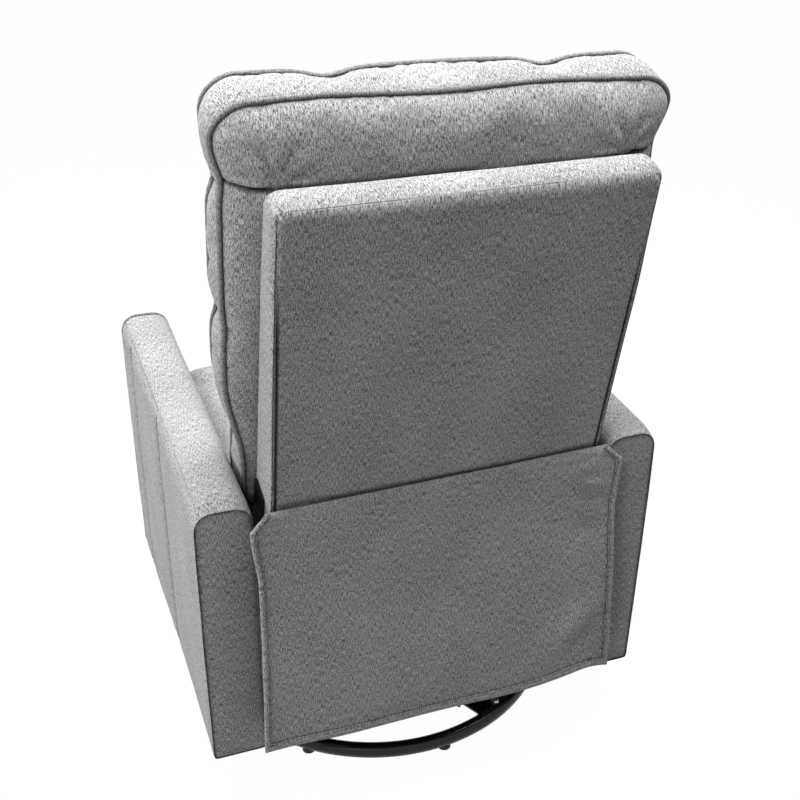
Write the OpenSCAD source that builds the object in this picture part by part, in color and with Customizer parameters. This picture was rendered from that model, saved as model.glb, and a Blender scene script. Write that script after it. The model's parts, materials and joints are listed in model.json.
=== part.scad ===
// Swivel glider recliner: an upholstered armchair on a round tube base.
// Lengths are in millimetres. X runs across the chair, the front faces -Y and Z is up.
// Places along Y are measured from the swivel axis; the whole chair is then centred.

/* [Arms] */
// Overall width over both arms
chair_w = 720; // [680:1:800]
// Width of one arm
arm_w = 86; // [78:1:100]
// Height of the arm tops above the floor
arm_top = 566; // [540:1:620]
// Height of the underside of the arms
arm_bottom = 102; // [90:1:120]
// Distance from the swivel axis to the front of the arms
arm_front = 330; // [300:1:332]
// Distance from the swivel axis to the rear of the arms
arm_rear = 301; // [290:1:305]
// Radius of the two long edges of an arm top
arm_top_r = 30; // [15:1:34]
// Radius of the lower edges and of the end edges of an arm
arm_edge_r = 9; // [4:1:12]
// Thickness of the padding round an arm frame
arm_pad = 12; // [8:1:16]
// Distance from the front of an arm to its first sewn channel
channel_1 = 95; // [80:1:140]
// Distance from the front of an arm to its second sewn channel
channel_2 = 328; // [260:1:360]
// Width of a sewn channel
channel_w = 4; // [2:0.5:6]
// Depth of a sewn channel
channel_deep = 1.6; // [0.5:0.1:3]
// Thickness of the boards and posts in the arms, the seat and the back
board_t = 22; // [18:1:25]

/* [Seat] */
// Height of the top of the seat rails
seat_rail_top = 345; // [340:1:350]
// Height of a seat rail at the side
side_rail_h = 82; // [70:1:84]
// Height of the front and rear seat rails
end_rail_h = 58; // [50:1:60]
// Distance from the swivel axis to the front face of the front rail
front_rail_y = 276; // [274:1:278]
// Distance from the swivel axis to the rear face of the rear rail
rear_rail_y = 236; // [225:1:245]
// Distance from the swivel axis to the front of the seat cushion
seat_front = 332; // [325:1:334]
// Distance from the swivel axis to the rear of the seat cushion
seat_rear = 150; // [120:1:160]
// Height of the seat cushion's upper edge
seat_edge_z = 452; // [440:1:458]
// How far the seat cushion swells above its edge
seat_crown = 17; // [8:1:20]
// Gap between the seat cushion and each arm
seat_gap = 5; // [3:1:10]
// Number of wavy springs under the seat
seat_springs_n = 4; // [3:1:5]
// Diameter of the spring wire
spring_wire = 3.6; // [3:0.2:4]
// Reach of a spring's wave to each side
spring_wave = 22; // [15:1:28]
// Number of half waves in one spring
spring_waves = 16; // [10:2:20]

/* [Back] */
// Gap between the back box and each arm
back_side_gap = 20; // [18:1:26]
// Length of the back box up its rear face
back_len = 633; // [600:1:660]
// Thickness of the back box at its top
back_t_top = 58; // [50:1:62]
// Thickness of the back box at its foot
back_t_low = 97; // [90:1:100]
// Lean of the back box's rear face
back_tilt = 11.5; // [9:0.5:13]
// Distance from the swivel axis to the lower rear edge of the back box
back_y0 = 280; // [275:1:285]
// Height of the lower rear edge of the back box
back_z0 = 400; // [395:1:405]
// Radius of the padded edges of the back box
back_edge_r = 12; // [6:1:14]
// Thickness of the padding on the back box
back_pad = 11; // [8:1:12]
// Width of a back strap
strap_w = 50; // [40:1:60]
// Thickness of a back strap
strap_t = 2; // [1:0.5:3]

/* [Back cushion] */
// How far the back cushion reaches out over each arm
cushion_over = 16; // [8:1:24]
// Gap between the back cushion and each arm
cushion_low_gap = 8; // [6:1:14]
// Height of the back cushion along its lean
cushion_len = 648; // [620:1:665]
// Thickness of the back cushion between its two pipings
cushion_t = 67; // [60:1:90]
// How far the front of the cushion swells
cushion_crown = 32; // [15:1:40]
// Lean of the back cushion
cushion_tilt = 10.5; // [8:0.5:12]
// Distance from the swivel axis to the foot of the rear piping
cushion_y0 = 195; // [190:1:198]
// Radius of the upper corners of the cushion
cushion_corner = 62; // [40:1:80]
// Radius of the lower corners of the cushion
cushion_low_corner = 34; // [20:1:45]
// Depth of the sewn tufts in the front of the cushion
tuft_deep = 17; // [8:1:20]
// Reach of a sewn tuft to each side of its seam
tuft_reach = 24; // [15:1:35]
// How far the cushion's edge is drawn in at each sewn row
row_pinch = 7; // [2:1:10]
// Diameter of the piping
piping_d = 9; // [6:0.5:11]

/* [Rear flap] */
// How far the hanging rear flap reaches out behind each arm
flap_over = 12; // [4:1:18]
// Height of the flap's top edge
flap_top = 568; // [560:1:580]
// Height of the flap's lower edge
flap_bottom = 146; // [130:1:160]
// Thickness of the flap
flap_t = 3; // [2:0.5:4]
// Distance from the swivel axis to the lower edge of the flap
flap_low_y = 353; // [345:1:360]
// Cut of the flap's upper corners
flap_corner = 24; // [15:1:30]
// Height of the flap's soft folds
flap_fold = 4; // [1:0.5:6]

/* [Base] */
// Radius of the base ring at the middle of its tube
ring_r = 296; // [285:1:305]
// Diameter of the ring's tube
ring_tube = 25.4; // [24:0.1:28]
// Height of the tube above the floor
ring_lift = 4; // [3:0.5:6]
// Diameter of a foot pad
foot_d = 22; // [18:1:24]
// Number of foot pads
foot_n = 8; // [4:4:12]
// Width of a cross plate
cross_w = 84; // [70:1:90]
// Thickness of the stamped steel plates of the base
plate_t = 4; // [3:0.5:5]
// Depth of the cross plate's turned-down edges
cross_rib = 12; // [8:1:14]
// Turn of the cross plates from the chair's X axis
cross_turn = 27.5; // [0:0.5:89.5]

/* [Swivel] */
// Radius of the round swivel plates
swivel_r = 105; // [98:1:110]
// Radius of the circle of bearing balls
ball_circle = 80; // [70:1:84]
// Diameter of a bearing ball
ball_d = 10; // [8:0.5:11]
// Number of bearing balls
ball_n = 18; // [12:1:20]
// Width of a bearing race
race_w = 22; // [18:1:24]
// Height of a bearing race
race_h = 6; // [6:0.5:7]
// Diameter of the king pin
king_d = 20; // [16:0.5:22]

/* [Glider] */
// Height of the upper glide pivots
glide_top = 222; // [220:1:224]
// Length of a glide link between its pivots
glide_len = 110; // [106:1:112]
// Distance from the swivel axis to the front and rear glide pivots
glide_y = 100; // [98:1:101]
// Distance from the middle to the outer face of a glide bracket
glide_x = 169; // [165:1:172]
// Width of a glide link
glide_w = 24; // [20:1:25]
// Diameter of a glide pivot pin
glide_pin = 10; // [8:0.5:11]
// Half length of a chassis rail
rail_half = 176; // [172:1:180]
// Height of a chassis rail
rail_h = 54; // [50:1:56]
// Side of the square cross tubes
tube_side = 25; // [22:1:25]
// Wall of the square cross tubes
tube_wall = 2; // [1.5:0.1:3]
// Distance from the swivel axis to the middle of each cross tube
tube_y = 158; // [157:1:160]

/* [Leg rest] */
// Half length of a crossing link between its pivots
link_half = 84; // [80:1:85]
// Width of a crossing link
link_w = 14; // [12:0.5:15]
// Thickness of a crossing link
link_t = 3; // [2.5:0.1:3.2]
// Space between neighbouring links
link_gap = 2; // [1.8:0.1:2.2]
// Diameter of a link's pivot pin
link_pin = 8; // [6:0.5:8.5]
// Angle of a folded link above level
fold_angle = 84; // [83:0.5:85]
// Angle of an opened link above level, which the slot has to reach
open_angle = 8; // [8:0.5:12]
// Height of the leg rest's upper pivots
leg_pivot_z = 272; // [270:1:273]
// Distance from the swivel axis to the leg rest's upper pivots
leg_pivot_y = 230; // [228:1:232]
// Diameter of the torque tube
torque_d = 16; // [14:0.5:17]
// Distance from the swivel axis to the front of the leg rest's pad
leg_front = 335; // [332:1:338]
// Thickness of the leg rest's pad
leg_pad_t = 40; // [36:1:42]
// Thickness of the leg rest's board
leg_board_t = 15; // [12:1:15]
// Height of the leg rest's lower edge, folded
leg_low = 118; // [112:1:125]
// Height of the leg rest's upper edge, folded
leg_high = 332; // [322:1:336]
// Gap between the leg rest and each arm
leg_gap = 8; // [5:1:12]

/* [Recline] */
// Distance from the swivel axis to the recline pivot
recline_y = 206; // [204:1:208]
// Height of the recline pivot
recline_z = 438; // [436:1:440]
// Diameter of the recline pin
recline_pin = 12; // [10:0.5:13]
// Thickness of the recline brackets
recline_t = 4; // [3:0.5:4]

/* [Release handle] */
// Distance from the swivel axis to the middle of the release cup
release_y = 120; // [100:1:140]
// Height of the middle of the release cup
release_z = 440; // [420:1:460]
// Length of the release cup's rim
release_w = 112; // [100:1:120]
// Height of the release cup's rim
release_h = 64; // [56:1:70]
// Depth of the release cup
release_deep = 30; // [26:1:34]
// Diameter of the release cable
cable_d = 6; // [5:0.5:7]

/* [Clearances] */
// Radial clearance of a pin that turns in its hole
pin_gap = 0.05; // [0.02:0.01:0.1]
// Gap between flat faces that move past each other
slide_gap = 0.2; // [0.1:0.05:0.4]
// Gap between a soft piece and what carries it
soft_gap = 0.3; // [0.1:0.1:0.5]

/* [Hidden] */
$fn = 48;

// A cut runs this far past the faces that it opens
over = 1;

// Half widths that follow from the room between the arms
arm_in = chair_w / 2 - arm_w;
back_half = arm_in - back_side_gap;
cushion_half = arm_in + cushion_over;
cushion_low_half = arm_in - cushion_low_gap;
flap_half = arm_in + flap_over;

// The base, from the floor up
tube_r = ring_tube / 2;
ring_z = ring_lift + tube_r;
foot_h = 2 * ring_lift;
cross_z = ring_lift + ring_tube;
bolt_d = 8;
bolt_head_d = 15;
bolt_head_h = 5;
king_nut_d = 32;
king_nut_h = 8;
king_hole_d = 44;
swivel_bolt_circle = 42;

// The swivel bearing
lower_plate_z = cross_z + plate_t;
lower_race_z = lower_plate_z + plate_t;
ball_sink = 3;
ball_z = lower_race_z + race_h + ball_d / 2 - ball_sink;
groove_r = ball_d / 2 + slide_gap;
upper_race_z = 2 * ball_z - lower_race_z - race_h;
upper_plate_z = upper_race_z + race_h;
turntable_z = upper_plate_z + plate_t;
bracket_foot_z = turntable_z + plate_t;
cage_t = 1.5;
cage_w = 16;

// The glider
bracket_t = 4;
link_plate_t = 4;
washer_t = 2;
bracket_foot_w = 34;
bracket_half = 90;
bracket_waist = 64;
ear_r = 13;
glide_link_x = glide_x + washer_t;
rail_x = glide_link_x + link_plate_t + washer_t;
rail_t = 4;
glide_low = glide_top - glide_len;
rail_low = glide_low - ear_r;
pin_head_d = 18;
tube_z = rail_low + rail_h;

// The seat
seat_rail_in = arm_in - board_t;
side_plate_t = 4;
side_plate_x = seat_rail_in - side_plate_t;
side_plate_edge = 12;
side_plate_top_gap = 15;
side_plate_mid_gap = 16;
side_plate_rear_y = 175;
clip_t = 1.2;
spring_z = seat_rail_top + spring_wire / 2 + clip_t;
clip_w = 14;
seat_low_z = spring_z + spring_wire / 2 + soft_gap;
seat_half = arm_in - seat_gap;

// The leg rest's crossing links, given for one side
upper_x = side_plate_x - link_gap - link_t;
lift_x = upper_x - link_gap - link_t;
link_span = 2 * link_half;
link_head_d = 11;
link_head_t = link_gap - slide_gap;
link_eye_d = 17;
link_waist = 1;
journal_d = 10;
fold_y = link_span * cos(fold_angle);
fold_z = link_span * sin(fold_angle);
open_z = link_span * sin(open_angle);
lift_y = leg_pivot_y;
lift_z = leg_pivot_z - fold_z;
knee_y = leg_pivot_y + fold_y;
leg_back = leg_front - leg_pad_t - leg_board_t;
leg_flange_w = 24;
leg_flange_t = 3;
leg_half = arm_in - leg_gap;

// The recline pivot, outwards from the side of the back box
recline_in = back_half + slide_gap;
recline_out = recline_in + recline_t + washer_t;
recline_arm_w = 44;
recline_arm_h = 150;
recline_foot_t = 4;
recline_foot_len = 74;

// The release handle
flush_gap = 0.5;
release_in = chair_w / 2 - flush_gap;
rim_t = 2;
rim_w = 7;
cup_wall = 2;
paddle_t = 3;
paddle_drop = 21;
paddle_w = 78;
paddle_pin_d = 5;
paddle_rise = 17;

// Where the chair's box is centred
back_top_y = back_y0 + back_len * sin(back_tilt);
rear_reach = back_top_y - back_edge_r * (cos(back_tilt) + sin(back_tilt) - 1);
frame_y = (leg_front - rear_reach) / 2;

// General shapes

module placed() translate([0, frame_y, 0]) children();

module both_sides() {
  children();
  mirror([1, 0, 0]) children();
}

// A bar with round ends in the YZ plane, from x outwards, with its holes
module link_bar(x, t, from, to, w, holes, waist = 0) {
  run = to - from;
  length = norm(run);
  turn = atan2(run[1], run[0]);
  difference() {
    union() {
      translate([x, from[0], from[1]]) rotate([turn, 0, 0])
        translate([0, 0, waist - w / 2]) cube([t, length, w - 2 * waist]);
      for (p = [from, to]) x_rod(x, t, p, w);
    }
    for (h = holes) x_rod(x - over, t + 2 * over, [h[0], h[1]], h[2]);
  }
}

// A round rod along X at the point [y, z]
module x_rod(x, length, p, d)
  translate([x, p[0], p[1]]) rotate([0, 90, 0]) cylinder(h = length, d = d);

// A plate in the YZ plane from its outline [y, z]
module x_plate(x, t, outline)
  translate([x, 0, 0]) rotate([90, 0, 90]) linear_extrude(t) polygon(outline);

function unit(v) = v / norm(v);
function bump(t, at, reach) = exp(-pow((t - at) / reach, 2));
function sum(list, k = 0) = k == len(list) ? 0 : list[k] + sum(list, k + 1);

// A tube along a flat path, whose plane has the normal n
module sweep(path, d, n, sides, closed) {
  m = len(path);
  points = [for (k = [0:m - 1])
    let (last = closed ? (k + m - 1) % m : max(k - 1, 0),
         next = closed ? (k + 1) % m : min(k + 1, m - 1),
         side = cross(n, unit(path[next] - path[last])))
    for (a = [0:sides - 1])
      path[k] + d / 2 * (cos(360 * a / sides) * n + sin(360 * a / sides) * side)];
  bands = closed ? m : m - 1;
  walls = [for (k = [0:bands - 1], a = [0:sides - 1])
    let (p = k * sides + a, q = k * sides + (a + 1) % sides,
         r = ((k + 1) % m) * sides + (a + 1) % sides, s = ((k + 1) % m) * sides + a)
    each [[p, q, r], [p, r, s]]];
  caps = closed ? [] : [[for (a = [sides - 1:-1:0]) a],
    [for (a = [0:sides - 1]) (m - 1) * sides + a]];
  polyhedron(points, concat(walls, caps));
}

// A closed soft solid between two grids of points with the same outline,
// with one more row of points round its side
module soft_solid(front, rear, side) {
  rows = len(front);
  cols = len(front[0]);
  edge = concat([for (i = [0:cols - 2]) [0, i]], [for (j = [0:rows - 2]) [j, cols - 1]],
    [for (i = [cols - 1:-1:1]) [rows - 1, i]], [for (j = [rows - 1:-1:1]) [j, 0]]);
  m = len(edge);
  half = rows * cols;
  points = concat([for (row = front) each row], [for (row = rear) each row],
    [for (e = edge) side(front[e[0]][e[1]], rear[e[0]][e[1]])]);
  faces = [for (j = [0:rows - 2], i = [0:cols - 2])
    let (a = j * cols + i, b = a + 1, c = a + cols + 1, d = a + cols)
    each [[a, c, b], [a, d, c], [half + a, half + b, half + c],
      [half + a, half + c, half + d]]];
  walls = [for (k = [0:m - 1])
    let (n = (k + 1) % m, a = edge[k][0] * cols + edge[k][1],
         b = edge[n][0] * cols + edge[n][1], c = 2 * half + k, d = 2 * half + n)
    each [[a, b, d], [a, d, c], [c, d, half + b], [c, half + b, half + a]]];
  polyhedron(points, concat(faces, walls));
}

// The base

module base_ring() placed() color("#1c1c1e")
  translate([0, 0, ring_z]) ring_solid(tube_r);

module ring_solid(r)
  rotate_extrude($fn = 96) translate([ring_r, 0]) circle(r);

module cross_arms() rotate([0, 0, cross_turn]) for (a = [0:90:270]) rotate([0, 0, a]) children();

module base_cross() placed() color("#1c1c1e") difference() {
  union() {
    cross_arms() {
      translate([0, -cross_w / 2, cross_z]) cube([ring_r, cross_w, plate_t]);
      for (y = [-cross_w / 2, cross_w / 2 - plate_t])
        translate([cross_w / 2 - plate_t, y, cross_z - cross_rib])
          cube([ring_r - 2 * ring_tube + plate_t - cross_w / 2, plate_t, cross_rib]);
    }
  }
  translate([0, 0, cross_z - over]) cylinder(h = plate_t + 2 * over, d = king_hole_d);
  cross_arms() {
    translate([ring_r - tube_r / 2, 0, cross_z - over])
      cylinder(h = plate_t + 2 * over, d = bolt_d);
    translate([swivel_bolt_circle, 0, cross_z - over])
      cylinder(h = plate_t + 2 * over, d = bolt_d);
  }
}

module foot_pads() placed() color("#141414") difference() {
  for (k = [0:foot_n - 1]) rotate([0, 0, cross_turn + (k + 0.5) * 360 / foot_n])
    translate([ring_r, 0, 0]) cylinder(h = foot_h, d = foot_d);
  translate([0, 0, ring_z]) ring_solid(tube_r);
}

module cross_bolts() placed() color("#b8bcc0") cross_arms()
  translate([ring_r - tube_r / 2, 0, cross_z]) {
    cylinder(h = plate_t, d = bolt_d);
    translate([0, 0, plate_t]) cylinder(h = bolt_head_h, d = bolt_head_d, $fn = 6);
  }

module race(z, centre_z) difference() {
  translate([0, 0, z]) difference() {
    cylinder(h = race_h, r = ball_circle + race_w / 2);
    translate([0, 0, -over]) cylinder(h = race_h + 2 * over, r = ball_circle - race_w / 2);
  }
  translate([0, 0, centre_z]) rotate_extrude() translate([ball_circle, 0]) circle(groove_r);
}

module swivel_lower_plate() placed() color("#1c1c1e") difference() {
  union() {
    translate([0, 0, lower_plate_z]) cylinder(h = plate_t, r = swivel_r);
    race(lower_race_z, ball_z);
  }
  translate([0, 0, lower_plate_z - over])
    cylinder(h = plate_t + 2 * over, d = king_d + 2 * pin_gap);
  cross_arms() translate([swivel_bolt_circle, 0, lower_plate_z - over])
    cylinder(h = plate_t + 2 * over, d = bolt_d);
}

module swivel_bolts() placed() color("#b8bcc0") cross_arms()
  translate([swivel_bolt_circle, 0, 0]) {
    translate([0, 0, cross_z]) cylinder(h = 2 * plate_t, d = bolt_d);
    translate([0, 0, cross_z - bolt_head_h])
      cylinder(h = bolt_head_h, d = bolt_head_d, $fn = 6);
    translate([0, 0, lower_race_z]) cylinder(h = bolt_head_h, d = bolt_head_d, $fn = 6);
  }

module ball_cage() placed() color("#8a8d90") difference() {
  translate([0, 0, ball_z - cage_t / 2]) cylinder(h = cage_t, r = ball_circle + cage_w / 2);
  translate([0, 0, ball_z - cage_t]) cylinder(h = 2 * cage_t, r = ball_circle - cage_w / 2);
  for (k = [0:ball_n - 1]) rotate([0, 0, k * 360 / ball_n])
    translate([ball_circle, 0, ball_z - cage_t])
      cylinder(h = 2 * cage_t, d = ball_d + 2 * slide_gap);
}

module bearing_balls() placed() color("#d0d4d8")
  for (k = [0:ball_n - 1]) rotate([0, 0, k * 360 / ball_n])
    translate([ball_circle, 0, ball_z]) sphere(d = ball_d, $fn = 24);

// The turntable

module swivel_upper_plate() placed() color("#1c1c1e") difference() {
  union() {
    translate([0, 0, upper_plate_z]) cylinder(h = plate_t, r = swivel_r);
    race(upper_race_z, ball_z);
  }
  translate([0, 0, upper_plate_z - over]) cylinder(h = plate_t + 2 * over, d = king_d);
  turntable_holes(upper_plate_z);
}

module at_turntable_bolts()
  for (x = [-swivel_bolt_circle, swivel_bolt_circle],
       y = [-swivel_bolt_circle, swivel_bolt_circle]) translate([x, y, 0]) children();

module turntable_holes(z) at_turntable_bolts()
  translate([0, 0, z - over]) cylinder(h = plate_t + 2 * over, d = bolt_d);

module turntable_plate() placed() color("#1c1c1e") difference() {
  translate([-glide_x, -bracket_half, turntable_z])
    cube([2 * glide_x, 2 * bracket_half, plate_t]);
  translate([0, 0, turntable_z - over]) cylinder(h = plate_t + 2 * over, d = king_d);
  turntable_holes(turntable_z);
  at_foot_bolts() translate([0, 0, turntable_z - over])
    cylinder(h = plate_t + 2 * over, d = bolt_d);
}

module king_pin() placed() color("#b8bcc0") {
  translate([0, 0, lower_plate_z - slide_gap])
    cylinder(h = bracket_foot_z - lower_plate_z + slide_gap, d = king_d);
  translate([0, 0, lower_plate_z - slide_gap - king_nut_h])
    cylinder(h = king_nut_h, d = king_nut_d, $fn = 6);
  translate([0, 0, bracket_foot_z]) cylinder(h = bolt_head_h, d = king_nut_d);
}

module at_foot_bolts()
  for (x = [-1, 1], y = [-bracket_waist, bracket_waist])
    translate([x * (glide_x - bracket_t - bracket_foot_w / 2), y, 0]) children();

module turntable_bolts() placed() color("#b8bcc0") {
  at_turntable_bolts() {
    translate([0, 0, upper_plate_z]) cylinder(h = 2 * plate_t, d = bolt_d);
    translate([0, 0, upper_plate_z - bolt_head_h])
      cylinder(h = bolt_head_h, d = bolt_head_d, $fn = 6);
    translate([0, 0, bracket_foot_z]) cylinder(h = bolt_head_h, d = bolt_head_d, $fn = 6);
  }
  at_foot_bolts() {
    translate([0, 0, turntable_z]) cylinder(h = 2 * plate_t, d = bolt_d);
    translate([0, 0, turntable_z - bolt_head_h])
      cylinder(h = bolt_head_h, d = bolt_head_d, $fn = 6);
    translate([0, 0, bracket_foot_z + plate_t])
      cylinder(h = bolt_head_h, d = bolt_head_d, $fn = 6);
  }
}

module glide_brackets() placed() color("#1c1c1e") both_sides() difference() {
  union() {
    x_plate(glide_x - bracket_t, bracket_t, [[-bracket_half, bracket_foot_z],
      [bracket_half, bracket_foot_z], [bracket_waist, glide_low],
      [bracket_waist, glide_top - 3 * ear_r], [glide_y + ear_r, glide_top],
      [glide_y, glide_top + ear_r], [-glide_y, glide_top + ear_r],
      [-glide_y - ear_r, glide_top], [-bracket_waist, glide_top - 3 * ear_r],
      [-bracket_waist, glide_low]]);
    translate([glide_x - bracket_t - bracket_foot_w, -bracket_half, bracket_foot_z])
      cube([bracket_foot_w, 2 * bracket_half, plate_t]);
  }
  for (y = [-glide_y, glide_y])
    x_rod(glide_x - bracket_t - over, bracket_t + 2 * over, [y, glide_top], glide_pin);
  at_foot_bolts() translate([0, 0, bracket_foot_z - over])
    cylinder(h = plate_t + 2 * over, d = bolt_d);
}

// A pin with a head at each end and a washer between the two plates it joins
module glide_pin_at(x, first_t, second_t, z) for (y = [-glide_y, glide_y]) {
  whole = first_t + washer_t + second_t + slide_gap;
  x_rod(x, whole, [y, z], glide_pin);
  x_rod(x + first_t, washer_t - slide_gap, [y, z], pin_head_d);
  x_rod(x - washer_t + slide_gap, washer_t - slide_gap, [y, z], pin_head_d);
  x_rod(x + whole, washer_t - slide_gap, [y, z], pin_head_d);
}

module bracket_pins() placed() color("#b8bcc0") both_sides()
  glide_pin_at(glide_x - bracket_t, bracket_t, link_plate_t, glide_top);

// The glide links

module glide_link_at(y) both_sides()
  link_bar(glide_link_x, link_plate_t, [y, glide_low], [y, glide_top], glide_w,
    [for (z = [glide_low, glide_top]) [y, z, glide_pin + 2 * pin_gap]]);

module front_glide_links() placed() color("#2a2a2c") glide_link_at(-glide_y);
module rear_glide_links() placed() color("#2a2a2c") glide_link_at(glide_y);

// The chassis

module chassis_rails() placed() color("#1c1c1e") both_sides() difference() {
  x_plate(rail_x, rail_t, [[-rail_half, tube_z], [-rail_half, rail_low + rail_t],
    [-glide_y - ear_r, rail_low], [glide_y + ear_r, rail_low],
    [rail_half, rail_low + rail_t], [rail_half, tube_z]]);
  for (y = [-glide_y, glide_y])
    x_rod(rail_x - over, rail_t + 2 * over, [y, glide_low], glide_pin);
}

module rail_pins() placed() color("#b8bcc0") mirror([1, 0, 0]) both_sides()
  mirror([1, 0, 0]) rail_pin_side();

module rail_pin_side() for (y = [-glide_y, glide_y]) {
  x_rod(glide_link_x - slide_gap, rail_x + rail_t - glide_link_x + slide_gap,
    [y, glide_low], glide_pin);
  x_rod(glide_x + slide_gap, washer_t - 2 * slide_gap, [y, glide_low], pin_head_d);
  x_rod(rail_x - washer_t + slide_gap, washer_t - slide_gap, [y, glide_low], pin_head_d);
  x_rod(rail_x + rail_t, washer_t, [y, glide_low], pin_head_d);
}

module cross_tubes() placed() color("#1c1c1e") for (y = [-tube_y, tube_y])
  translate([-side_plate_x, y - tube_side / 2, tube_z]) difference() {
    cube([2 * side_plate_x, tube_side, tube_side]);
    translate([-over, tube_wall, tube_wall])
      cube([2 * side_plate_x + 2 * over, tube_side - 2 * tube_wall, tube_side - 2 * tube_wall]);
  }

side_plate_outline = [[-leg_pivot_y - side_plate_edge, lift_z - side_plate_edge],
  [-leg_pivot_y + side_plate_edge, lift_z - side_plate_edge],
  [-leg_pivot_y + 2 * side_plate_edge, tube_z - side_plate_mid_gap],
  [side_plate_rear_y - side_plate_mid_gap, tube_z - side_plate_mid_gap],
  [side_plate_rear_y + side_plate_edge, tube_z + 2 * tube_side],
  [side_plate_rear_y + side_plate_edge, seat_rail_top - side_plate_top_gap],
  [-leg_pivot_y - side_plate_edge, seat_rail_top - side_plate_top_gap]];

module side_plates() placed() color("#1c1c1e") both_sides() difference() {
  x_plate(side_plate_x, side_plate_t, side_plate_outline);
  x_rod(side_plate_x - over, side_plate_t + 2 * over, [-leg_pivot_y, leg_pivot_z],
    journal_d + 2 * pin_gap);
  link_bar(side_plate_x - over, side_plate_t + 2 * over, [-lift_y, lift_z],
    [-lift_y, leg_pivot_z - open_z], link_pin + 2 * slide_gap, []);
  at_plate_screws() rotate([0, 90, 0])
    translate([0, 0, -over]) cylinder(h = side_plate_t + 2 * over, d = bolt_d);
  at_arm_bolts() rotate([0, 90, 0])
    translate([0, 0, -over]) cylinder(h = side_plate_t + 2 * over, d = bolt_d);
}

plate_screw_shares = [0.14, 0.5, 0.86];
module at_plate_screws() for (s = plate_screw_shares)
  translate([side_plate_x, -leg_pivot_y + s * (leg_pivot_y + side_plate_rear_y),
    seat_rail_top - side_rail_h / 2]) children();

module plate_screws() placed() color("#b8bcc0") both_sides() at_plate_screws()
  rotate([0, 90, 0]) {
    cylinder(h = side_plate_t + board_t / 2, d = bolt_d);
    translate([0, 0, -bolt_head_h / 2]) cylinder(h = bolt_head_h / 2, d = bolt_head_d);
  }

// The seat frame

module seat_side_rails() placed() color("#c9a774") both_sides() difference() {
  translate([seat_rail_in, -front_rail_y, seat_rail_top - side_rail_h])
    cube([board_t, front_rail_y + rear_rail_y, side_rail_h]);
  at_plate_screws() rotate([0, 90, 0])
    translate([0, 0, side_plate_t - over]) cylinder(h = board_t / 2 + over, d = bolt_d);
  at_arm_bolts() rotate([0, 90, 0]) cylinder(h = arm_bolt_len + over, d = bolt_d);
}

module seat_end_rails() placed() color("#c9a774")
  for (y = [-front_rail_y, rear_rail_y - board_t])
    translate([-seat_rail_in, y, seat_rail_top - end_rail_h])
      cube([2 * seat_rail_in, board_t, end_rail_h]);

spring_run = front_rail_y + rear_rail_y - board_t;
spring_step = spring_run / spring_waves;
function spring_x(k) = (k + 0.5 - seat_springs_n / 2) * 2 * seat_rail_in / (seat_springs_n + 0.2);

// One wavy wire, three points to each half wave
function spring_path(x) = concat(
  [[x, -front_rail_y + board_t / 2, spring_z]],
  [for (w = [1:spring_waves - 1], s = [-1:1])
    [x + (w % 2 == 0 ? 1 : -1) * spring_wave * (1 - abs(s) * (1 - spring_round_share)),
     -front_rail_y + board_t / 2 + (w + s * spring_round_share / 2) * spring_step, spring_z]],
  [[x, rear_rail_y - board_t / 2, spring_z]]);
spring_round_share = 0.7;

module seat_springs() placed() color("#9a9da1") for (k = [0:seat_springs_n - 1])
  sweep(spring_path(spring_x(k)), spring_wire, [0, 0, 1], 6, false);

module spring_clips() placed() color("#b8bcc0")
  for (k = [0:seat_springs_n - 1], y = [-front_rail_y, rear_rail_y - board_t])
    translate([spring_x(k) - clip_w / 2, y, seat_rail_top]) cube([clip_w, board_t, clip_t]);

// The arms

module at_arm_bolts() for (y = [-front_rail_y + 2 * board_t, rear_rail_y - 4 * board_t])
  translate([side_plate_x, y, seat_rail_top - 2 * board_t]) children();

arm_bolt_len = side_plate_t + board_t + arm_pad + board_t / 2;
module arm_bolts() placed() color("#b8bcc0") both_sides() at_arm_bolts()
  rotate([0, 90, 0]) {
    cylinder(h = arm_bolt_len, d = bolt_d);
    translate([0, 0, -bolt_head_h]) cylinder(h = bolt_head_h, d = bolt_head_d, $fn = 6);
  }

// The arm's cross-section, drawn in by inset
module arm_section(inset) hull() {
  for (x = [arm_in + arm_top_r, chair_w / 2 - arm_top_r])
    translate([x, arm_top - arm_top_r]) circle(arm_top_r - inset, $fn = 32);
  for (x = [arm_in + arm_edge_r, chair_w / 2 - arm_edge_r])
    translate([x, arm_bottom + arm_edge_r]) circle(arm_edge_r - inset, $fn = 16);
}

module arm_slab(inset, back_off) translate([0, arm_rear - back_off, 0]) rotate([90, 0, 0])
  linear_extrude(arm_rear + arm_front - 2 * back_off) arm_section(inset);

module arm_outside() hull() {
  arm_slab(0, arm_edge_r);
  arm_slab(arm_edge_r * round_shares[0], arm_edge_r * round_shares[1]);
  arm_slab(arm_edge_r * round_shares[2], 0);
}
round_shares = [0.3, 0.3, 0.95];

arm_inner_low = arm_bottom + 2 * arm_pad;
module arm_cavity() translate([arm_in + arm_pad, -arm_front + arm_pad, arm_bottom + arm_pad])
  cube([arm_w - 2 * arm_pad, arm_front + arm_rear - 2 * arm_pad,
    arm_top - arm_top_r - arm_bottom - arm_pad]);

module arm_cutout() translate([arm_in - over, -front_rail_y + board_t, arm_inner_low])
  cube([arm_pad + 2 * over, front_rail_y + rear_rail_y - 2 * board_t,
    seat_rail_top - arm_inner_low]);

module channel_cuts() for (y = [channel_1, channel_2])
  translate([chair_w / 2, y - arm_front, arm_bottom - over]) rotate([0, 0, 45])
    translate([-channel_w / 2, -channel_w / 2, 0])
      cube([channel_w, channel_w, arm_top - arm_top_r - arm_bottom + over]);

module arm_pad_solid() difference() {
  arm_outside();
  arm_cavity();
  arm_cutout();
  translate([channel_w / sqrt(2) - channel_deep, 0, 0]) channel_cuts();
}

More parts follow.
